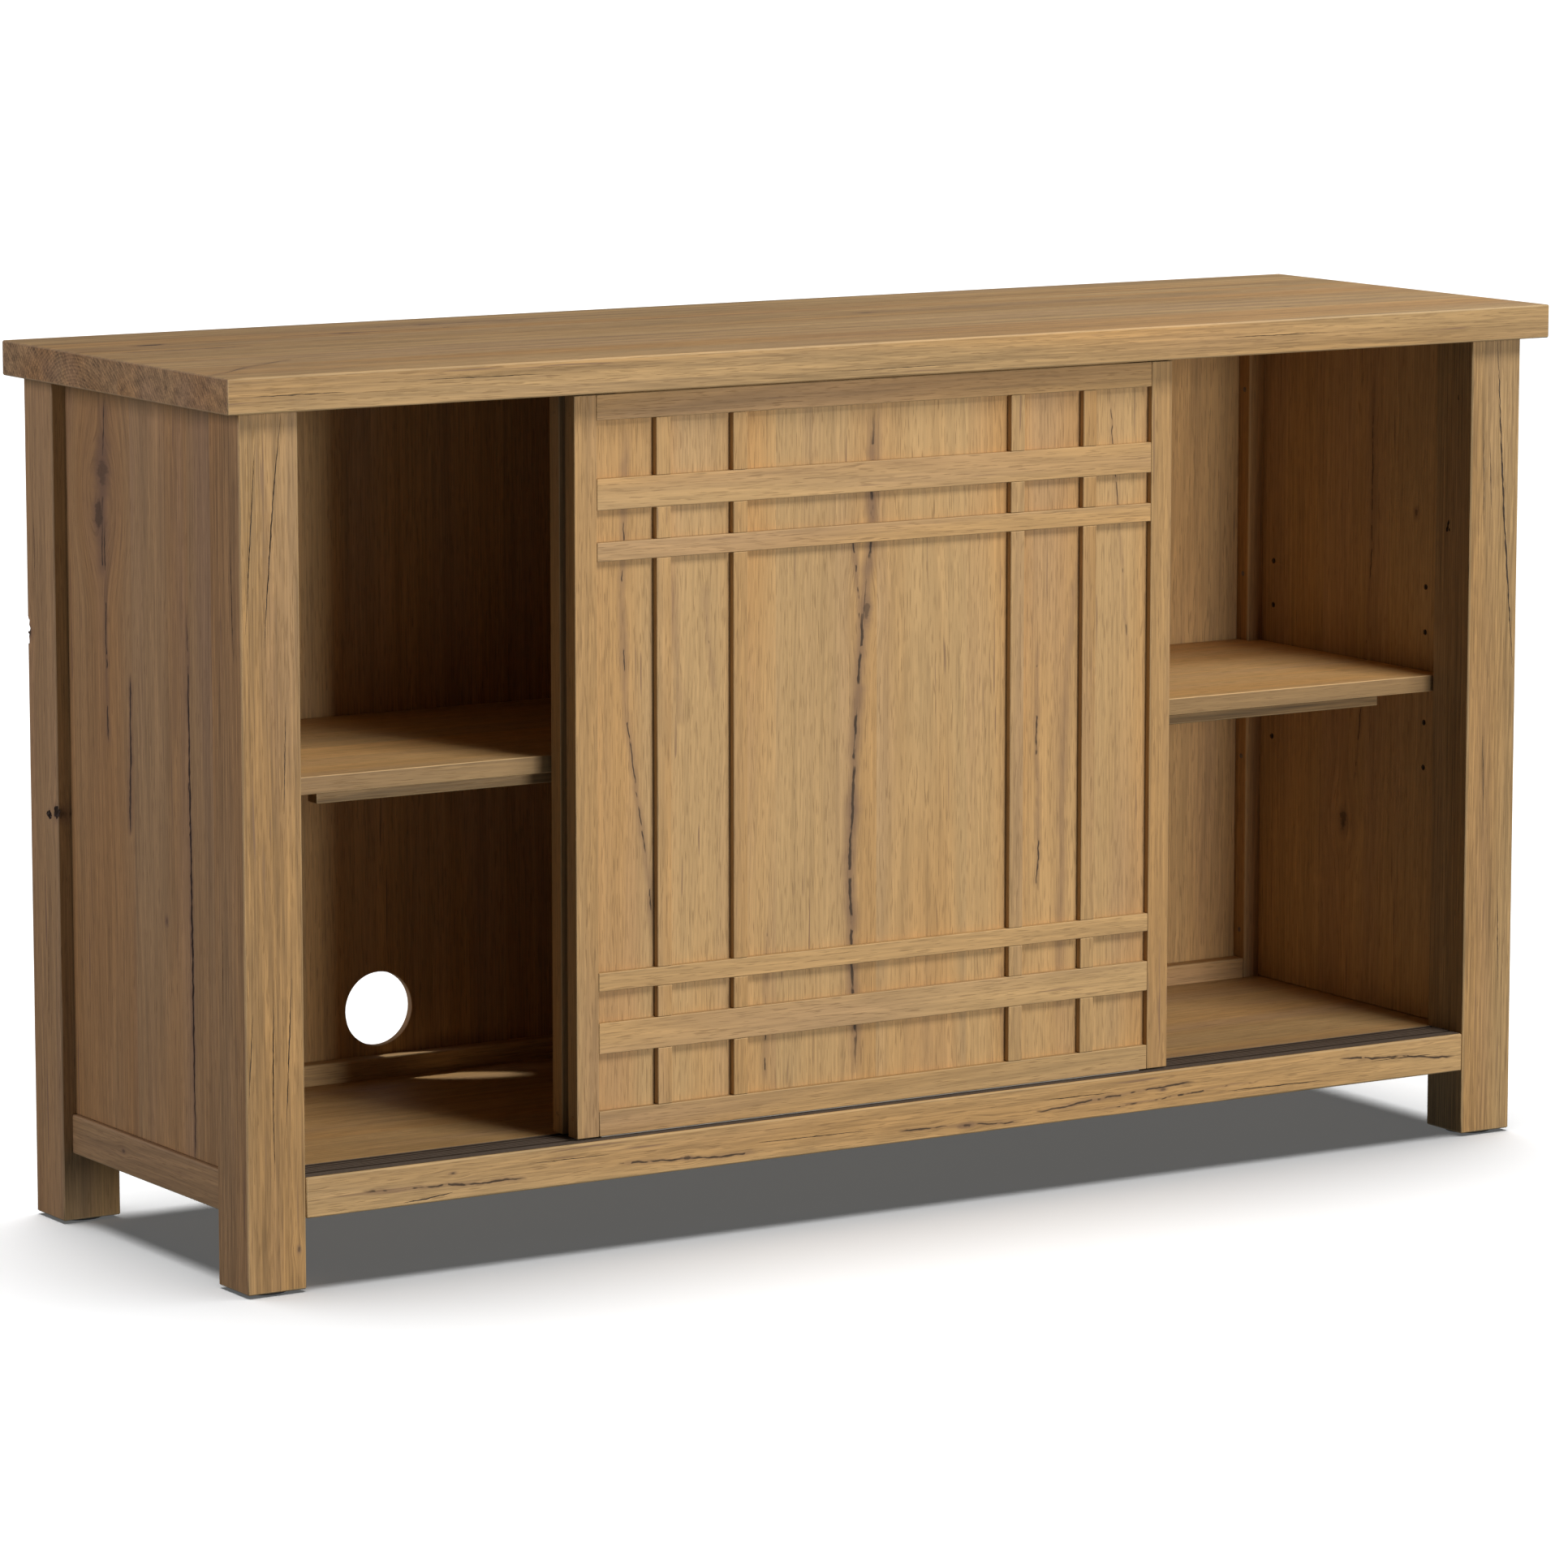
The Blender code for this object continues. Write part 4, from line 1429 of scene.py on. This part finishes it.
class FittingTree:
    """A Geometry Nodes tree that sets a small fitting on each point of a mesh, facing its aim."""

    def __init__(self, name: str, sizes: Mapping[str, float]) -> None:
        """Starts the tree.

        Args:
            name: Its name.
            sizes: Its size inputs, with their values.
        """
        self.tree = bpy.data.node_groups.new(name, "GeometryNodeTree")
        self.graph = Graph(self.tree)
        self.sizes = dict(sizes)
        face = self.tree.interface
        face.new_socket("Geometry", in_out="INPUT", socket_type="NodeSocketGeometry")
        for label in sizes:
            face.new_socket(label, in_out="INPUT", socket_type="NodeSocketFloat")
        face.new_socket("Material", in_out="INPUT", socket_type="NodeSocketMaterial")
        face.new_socket("Geometry", in_out="OUTPUT", socket_type="NodeSocketGeometry")
        self.entry = self.graph.add("NodeGroupInput")

    def size(self, label: str) -> Signal:
        """One of the size inputs."""
        return Signal(self.graph, self.entry.outputs[label])

    def finish(self, fitting: Signal) -> None:
        """Sets the fitting on the points, makes it real and gives it the material.

        Args:
            fitting: The fitting's geometry, made at the origin and facing +Z.
        """
        graph = self.graph
        aim = graph.signal(
            "GeometryNodeInputNamedAttribute", {"data_type": "FLOAT_VECTOR"}, {"Name": AIM},
            out="Attribute",
        )
        turn = graph.signal("FunctionNodeAlignRotationToVector", {"axis": "Z"}, {"Vector": aim})
        points = {"Points": self.entry.outputs["Geometry"], "Instance": fitting, "Rotation": turn}
        set_out = graph.signal("GeometryNodeInstanceOnPoints", inputs=points)
        real = graph.signal("GeometryNodeRealizeInstances", inputs={"Geometry": set_out})
        coated = {"Geometry": real, "Material": self.entry.outputs["Material"]}
        dressed = graph.signal("GeometryNodeSetMaterial", inputs=coated)
        graph.add("NodeGroupOutput", inputs={0: dressed})

    def place(
        self,
        name: str,
        points: Sequence[tuple[Sequence[float], Sequence[float]]],
        material: bpy.types.Material,
    ) -> bpy.types.Object:
        """Sets the fittings out as one plain mesh.

        Args:
            name: The piece's name.
            points: Where each fitting goes and which way it faces.
            material: Its material.

        Returns:
            The piece.
        """
        mesh = bpy.data.meshes.new(name)
        mesh.from_pydata([tuple(point) for point, _ in points], [], [])
        aims = mesh.attributes.new(AIM, "FLOAT_VECTOR", "POINT")
        for item, (_, aim) in zip(aims.data, points):
            item.vector = aim
        piece = new_object(name, mesh)
        modifier = piece.modifiers.new("fittings", "NODES")
        modifier.node_group = self.tree
        for item in self.tree.interface.items_tree:
            if item.item_type == "SOCKET" and item.in_out == "INPUT":
                if item.name in self.sizes:
                    modifier[item.identifier] = self.sizes[item.name]
                elif item.name == "Material":
                    modifier[item.identifier] = material
        settled(piece)
        piece.data.materials.clear()
        piece.data.materials.append(material)
        return piece


def plug_tree() -> FittingTree:
    """A domed dowel plug, mostly below the surface."""
    made = FittingTree("dowel_plug", {"Radius": 0.0038, "Crown": 0.0006})
    graph = made.graph
    ball = graph.signal(
        "GeometryNodeMeshUVSphere", inputs={"Segments": 20, "Rings": 8, "Radius": made.size("Radius")}
    )
    flat = graph.vector(1.0, 1.0, made.size("Crown") / made.size("Radius"))
    made.finish(graph.signal("GeometryNodeTransform", inputs={"Geometry": ball, "Scale": flat}))
    return made


def screw_tree() -> FittingTree:
    """A pan-head screw with a cross recess."""
    made = FittingTree("pan_head_screw", {"Radius": 0.0040, "Crown": 0.0017, "Slot": 0.0009})
    graph = made.graph
    ball = graph.signal(
        "GeometryNodeMeshUVSphere", inputs={"Segments": 24, "Rings": 10, "Radius": made.size("Radius")}
    )
    flat = graph.vector(1.0, 1.0, made.size("Crown") / made.size("Radius"))
    head = graph.signal("GeometryNodeTransform", inputs={"Geometry": ball, "Scale": flat})
    reach = made.size("Radius") * 1.1
    up = graph.vector(0.0, 0.0, made.size("Crown") * 0.9)
    recess = graph.add("GeometryNodeJoinGeometry")
    for size in (
        graph.vector(reach, made.size("Slot"), made.size("Crown")),
        graph.vector(made.size("Slot"), reach, made.size("Crown")),
    ):
        bar = graph.signal("GeometryNodeMeshCube", inputs={"Size": size})
        bar = graph.signal("GeometryNodeTransform", inputs={"Geometry": bar, "Translation": up})
        graph.tree.links.new(bar.socket, recess.inputs[0])
    settings = {"operation": "DIFFERENCE"}
    inputs = {0: head, 1: recess.outputs[0]}
    made.finish(graph.signal("GeometryNodeMeshBoolean", settings, inputs))
    return made


def rim_tree() -> FittingTree:
    """A thin rolled rim round a drilled hole, with a dark round sheet just inside it as painted shade
    for the hole.
    """
    made = FittingTree("peg_hole_rim", {"Radius": 0.0027, "Bead": 0.00025, "Depth": 0.0009})
    graph = made.graph
    circle = graph.signal(
        "GeometryNodeCurvePrimitiveCircle", inputs={"Resolution": 20, "Radius": made.size("Radius")}
    )
    bead = graph.signal(
        "GeometryNodeCurvePrimitiveCircle", inputs={"Resolution": 8, "Radius": made.size("Bead")}
    )
    ring = graph.signal("GeometryNodeCurveToMesh", inputs={0: circle, 1: bead})
    # A dark round sheet below the face: painted shade standing in for the inside of the hole.
    settings = {"fill_type": "NGON"}
    inputs = {"Vertices": 20, "Radius": made.size("Radius")}
    shade_disc = graph.signal("GeometryNodeMeshCircle", settings, inputs)
    down = graph.vector(0.0, 0.0, made.size("Depth") * -1.0)
    shade_disc = graph.signal("GeometryNodeTransform", inputs={"Geometry": shade_disc, "Translation": down})
    both = graph.add("GeometryNodeJoinGeometry")
    for part in (ring, shade_disc):
        graph.tree.links.new(part.socket, both.inputs[0])
    made.finish(Signal(graph, both.outputs[0]))
    return made


def rib_tree() -> FittingTree:
    """A fine bead that runs the length of a track."""
    made = FittingTree("track_rib", {"Length": 1.0, "Bead": 0.0005})
    graph = made.graph
    half = made.size("Length") * 0.5
    ends = [graph.vector(half * sign, 0.0, 0.0) for sign in (-1.0, 1.0)]
    line = graph.signal("GeometryNodeCurvePrimitiveLine", inputs={"Start": ends[0], "End": ends[1]})
    bead = graph.signal(
        "GeometryNodeCurvePrimitiveCircle", inputs={"Resolution": 8, "Radius": made.size("Bead")}
    )
    caps = {0: line, 1: bead, "Fill Caps": True}
    made.finish(graph.signal("GeometryNodeCurveToMesh", inputs=caps))
    return made


@dataclass
class Fittings:
    """The small repeated pieces: dowel plugs, screws, peg-hole rims and track ribs.

    Attributes:
        finishes: The finishes.
        plug_inset: How far a plug is from the end of a door's stile.
        screw_pitch: The distance between the screws of the back panel.
        peg_rows: How many peg holes are in a column.
        peg_pitch: The distance between peg holes.
        peg_above_shelf: How far the middle hole is above the shelf's underside.
        peg_setbacks: The columns' distances from the front and rear legs.
    """

    finishes: Finishes
    plug_inset: float = 0.019
    screw_pitch: float = 0.148
    peg_rows: int = 5
    peg_pitch: float = 0.0475
    peg_above_shelf: float = 0.0094
    peg_setbacks: tuple[float, float] = (0.037, 0.022)

    def build(self) -> None:
        """Makes every group of fittings."""
        self.plugs()
        self.screws()
        self.rims()
        self.ribs()

    def plugs(self) -> None:
        """Two dowel plugs in the outer edge of each stile."""
        tree = plug_tree()
        for door in ("door_front", "door_rear"):
            points = []
            for end, sign in (("left", -1), ("right", 1)):
                low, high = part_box(f"{door}_stile_{end}")
                x = low.x if sign < 0 else high.x
                for z in (low.z + self.plug_inset, high.z - self.plug_inset):
                    points.append(((x - sign * 0.0004, (low.y + high.y) / 2, z), (sign, 0, 0)))
            piece = tree.place(f"{door}_plugs", points, self.finishes.plug_oak())
            present(piece, door)

    def screws(self) -> None:
        """Screws through the back panel into the rear rail and divider, and in the leg reveals."""
        points = []
        low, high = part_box("back_panel")
        rail_low, rail_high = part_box("rear_rail")
        margin = 0.030
        count = int((high.x - low.x - 2 * margin) / self.screw_pitch) + 1
        step = (high.x - low.x - 2 * margin) / (count - 1)
        for number in range(count):
            x = low.x + margin + step * number
            points.append(((x, high.y, (rail_low.z + rail_high.z) / 2), (0, 1, 0)))
        for share in (0.28, 0.46, 0.64, 0.82):
            points.append(((0.0, high.y, low.z + (high.z - low.z) * share), (0, 1, 0)))
        for side, sign in (("left", -1), ("right", 1)):
            leg_low, leg_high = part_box(f"leg_rear_{side}")
            face = leg_high.x if sign < 0 else leg_low.x
            y = (leg_low.y + low.y) / 2
            for share in (0.19, 0.42, 0.66, 0.90):
                z = leg_low.z + (leg_high.z - leg_low.z) * share
                points.append(((face + sign * 0.0012, y, z), (-sign, 0, 0)))
        piece = screw_tree().place("case_screws", points, self.finishes.satin(Finishes.screw))
        present(piece, "cabinet")

    def rims(self) -> None:
        """A rim round each peg hole."""
        points = []
        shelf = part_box("shelf_left")[0].z + self.peg_above_shelf
        columns = (
            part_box("leg_front_left")[1].y + self.peg_setbacks[0],
            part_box("leg_rear_left")[0].y - self.peg_setbacks[1],
        )
        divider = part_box("centre_divider")
        faces = [
            (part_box("side_panel_left")[1].x, 1), (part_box("side_panel_right")[0].x, -1),
            (divider[0].x, -1), (divider[1].x, 1),
        ]
        for face, outward in faces:
            for y in columns:
                for row in range(self.peg_rows):
                    if row == self.peg_rows // 2:
                        continue
                    z = shelf + (row - self.peg_rows // 2) * self.peg_pitch
                    points.append(((face, y, z), (outward, 0, 0)))
        piece = rim_tree().place("peg_hole_rims", points, self.finishes.satin(Finishes.track))
        present(piece, "cabinet")

    def ribs(self) -> None:
        """Beads along the lands of the lower track."""
        low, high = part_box("bottom_track")
        tree = rib_tree()
        tree.sizes["Length"] = high.x - low.x - 0.002
        lands = (0.0015, 0.0045, 0.0080, 0.0108, 0.0195, 0.0240, 0.0285, 0.0330, 0.0395, 0.0485)
        points = [((0.0, low.y + land, high.z - 0.0002), (0, 0, 1)) for land in lands]
        piece = tree.place("track_ribs", points, self.finishes.satin(Finishes.wear_and_painted_light))
        present(piece, "cabinet")


@dataclass(frozen=True)
class Lamp:
    """A rectangular light that faces its aim.

    Attributes:
        name: Its name.
        azimuth: Degrees to the right of straight in front.
        elevation: Degrees above the floor.
        distance: How far it is from the aim.
        width: Its width.
        height: Its height.
        power: Its power in watts.
        colour: Its colour.
        aim: The point that it faces.
    """

    name: str
    azimuth: float
    elevation: float
    distance: float
    width: float
    height: float
    power: float
    colour: Colour
    aim: tuple[float, float, float] = (0.1, 0.0, 0.45)

    def hang(self) -> bpy.types.Object:
        """Hangs the light and returns it."""
        data = bpy.data.lights.new(self.name, "AREA")
        data.shape = "RECTANGLE"
        data.size = self.width
        data.size_y = self.height
        data.energy = self.power
        data.color = self.colour
        light = bpy.data.objects.new(self.name, data)
        bpy.context.scene.collection.objects.link(light)
        turn, rise = math.radians(self.azimuth), math.radians(self.elevation)
        away = Vector(
            (math.sin(turn) * math.cos(rise), -math.cos(turn) * math.cos(rise), math.sin(rise))
        )
        light.location = Vector(self.aim) + away * self.distance
        light.rotation_euler = (-away).to_track_quat("-Z", "Y").to_euler()
        return light


@dataclass(frozen=True)
class Studio:
    """A white floor, soft light from the front right and the camera.

    Attributes:
        target: The point on the line of sight that the distance is measured to.
        heading: The camera's turn to the right of straight in.
        tilt: How far it looks down.
        distance: How far it is from the target.
        lens: Its focal length, in millimetres.
        sensor: The width of its sensor, in millimetres.
        lamps: The lights of the cabinet, which leave the floor alone.
        hole_lamp: The light that falls through the left cable hole from behind.
        sun_power: The strength of the light of the floor.
        sun_spread: How wide that light is, in degrees.
        sun_lean: How far it leans about X and Y, in degrees.
        half_floor: Half the width of the floor.
        bounce: How much of the light the floor gives back to the cabinet.
        glow: The faint light of the floor's own that fills its shadow.
        fill: The light of the backdrop on the cabinet.
        veil: The share of the white backdrop that the lacquer mirrors.
    """

    target: tuple[float, float, float] = (-0.0170, 0.0, 0.3998)
    heading: float = 0.5597
    tilt: float = 0.1524
    distance: float = 6.9846
    lens: float = 159.66
    sensor: float = 36.0
    lamps: tuple[Lamp, ...] = (
        Lamp("key_light", 22.0, 46.0, 7.0, 2.5, 2.2, 312.0, (1.0, 0.955, 0.89)),
        Lamp("low_light", 8.5, 6.0, 7.0, 1.5, 1.9, 212.0, (1.0, 0.955, 0.90)),
        Lamp("right_light", 100.0, 55.0, 2.4, 1.0, 1.0, 15.0, (1.0, 0.96, 0.90)),
        Lamp("left_light", -100.0, 22.0, 5.0, 2.2, 2.2, 66.0, (1.0, 0.86, 0.98)),
    )
    hole_lamp: Lamp = Lamp(
        "hole_light", -128.0, 37.0, 5.0, 0.5, 0.5, 260.0, (1.0, 0.97, 0.92), (-0.378, 0.195, 0.176)
    )
    sun_power: float = 4.6
    sun_spread: float = 50.0
    sun_lean: tuple[float, float] = (-6.0, 4.0)
    half_floor: float = 30.0
    bounce: float = 0.09
    glow: tuple[Colour, float] = ((0.86, 0.94, 1.0), 0.09)
    fill: tuple[Colour, float] = ((0.93, 0.92, 1.0), 0.01)
    veil: float = 0.2

    def build(self) -> None:
        """Makes the camera, the floor, the lights and the backdrop."""
        self.camera()
        floor = self.floor()
        self.lights(floor)
        self.backdrop()
        view = bpy.context.scene.view_settings
        view.view_transform = "Standard"
        view.look = "None"

    def camera(self) -> None:
        """Sets the camera up."""
        level = math.cos(self.tilt)
        forward = Vector(
            (math.sin(self.heading) * level, math.cos(self.heading) * level, -math.sin(self.tilt))
        )
        data = bpy.data.cameras.new("camera")
        data.lens = self.lens
        data.sensor_width = self.sensor
        camera = bpy.data.objects.new("camera", data)
        bpy.context.scene.collection.objects.link(camera)
        camera.location = Vector(self.target) - forward * self.distance
        camera.rotation_euler = forward.to_track_quat("-Z", "Y").to_euler()
        bpy.context.scene.camera = camera

    def floor(self) -> bpy.types.Object:
        """Lays a wide pale floor with a trace of mottling and returns it."""
        form = bmesh.new()
        bmesh.ops.create_grid(form, x_segments=2, y_segments=2, size=self.half_floor)
        mesh = bpy.data.meshes.new("studio_floor")
        form.to_mesh(mesh)
        form.free()
        floor = new_object("studio_floor", mesh)
        made = bpy.data.materials.new("studio_floor")
        made.use_nodes = True
        graph = Graph(made.node_tree)
        place = graph.signal("ShaderNodeTexCoord", out="Object")
        mottle = graph.signal("ShaderNodeTexNoise", inputs={"Vector": place, "Scale": 3.0})
        pale = graph.blend(mottle, (0.86, 0.86, 0.86), (0.88, 0.88, 0.88))
        seen = graph.signal("ShaderNodeLightPath", out="Is Camera Ray")
        colour = graph.blend(seen, (self.bounce, self.bounce, self.bounce), pale)
        shader = made.node_tree.nodes["Principled BSDF"]
        shader.inputs["Roughness"].default_value = 0.9
        tint, strength = self.glow
        shader.inputs["Emission Color"].default_value = (*tint, 1.0)
        shader.inputs["Emission Strength"].default_value = strength
        shader.inputs["Specular IOR Level"].default_value = 0.1
        graph.tree.links.new(colour.socket, shader.inputs["Base Color"])
        floor.data.materials.append(made)
        return floor

    def shine_through_hole(self) -> None:
        """Lets a little light from behind fall on the floor and rear rail of the left bay."""
        light = self.hole_lamp.hang()
        caught = bpy.data.collections.new("behind_hole")
        for name in ("floor_panel_board", "rear_rail_board"):
            caught.objects.link(bpy.data.objects[name])
        light.light_linking.receiver_collection = caught

    def lights(self, floor: bpy.types.Object) -> None:
        """Lights the cabinet from the front right, and whitens the floor from overhead.

        Args:
            floor: The floor, which the cabinet's lights pass over.
        """
        unlit = bpy.data.collections.new("unlit_floor")
        unlit.objects.link(floor)
        unlit.collection_objects[0].light_linking.link_state = "EXCLUDE"
        for lamp in self.lamps:
            lamp.hang().light_linking.receiver_collection = unlit
        data = bpy.data.lights.new("floor_light", "SUN")
        data.energy = self.sun_power
        data.angle = math.radians(self.sun_spread)
        light = bpy.data.objects.new("floor_light", data)
        bpy.context.scene.collection.objects.link(light)
        light.rotation_euler = (*(math.radians(lean) for lean in self.sun_lean), 0)
        lit = bpy.data.collections.new("lit_floor")
        lit.objects.link(floor)
        light.light_linking.receiver_collection = lit

    def backdrop(self) -> None:
        """A white backdrop that lights the cabinet only faintly."""
        world = bpy.data.worlds.new("studio")
        bpy.context.scene.world = world
        world.use_nodes = True
        graph = Graph(world.node_tree)
        world.node_tree.nodes.clear()
        rays = graph.add("ShaderNodeLightPath")
        seen = Signal(graph, rays.outputs["Is Camera Ray"])
        mirrored = Signal(graph, rays.outputs["Is Glossy Ray"])
        tint, strength = self.fill
        fill = graph.add(
            "ShaderNodeBackground", inputs={"Color": (*tint, 1.0), "Strength": strength}
        )
        white = graph.add("ShaderNodeBackground", inputs={"Color": (1, 1, 1, 1), "Strength": 1.0})
        mixed = graph.add(
            "ShaderNodeMixShader",
            inputs={0: seen.most(mirrored * self.veil), 1: fill.outputs[0], 2: white.outputs[0]},
        )
        graph.add("ShaderNodeOutputWorld", inputs={0: mixed.outputs[0]})


def main() -> None:
    """Builds the studio and dresses the cabinet, piece by piece."""
    logging.basicConfig(level=logging.INFO, format="%(message)s")
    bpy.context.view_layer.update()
    finishes = Finishes()
    studio = Studio()
    studio.build()
    SlabTop(finishes).build()
    Legs(finishes).build()
    Case(finishes).build()
    for place in ("front", "rear"):
        SlidingDoor(place, finishes).build()
    Fittings(finishes).build()
    studio.shine_through_hole()


if __name__ == "__main__":
    main()
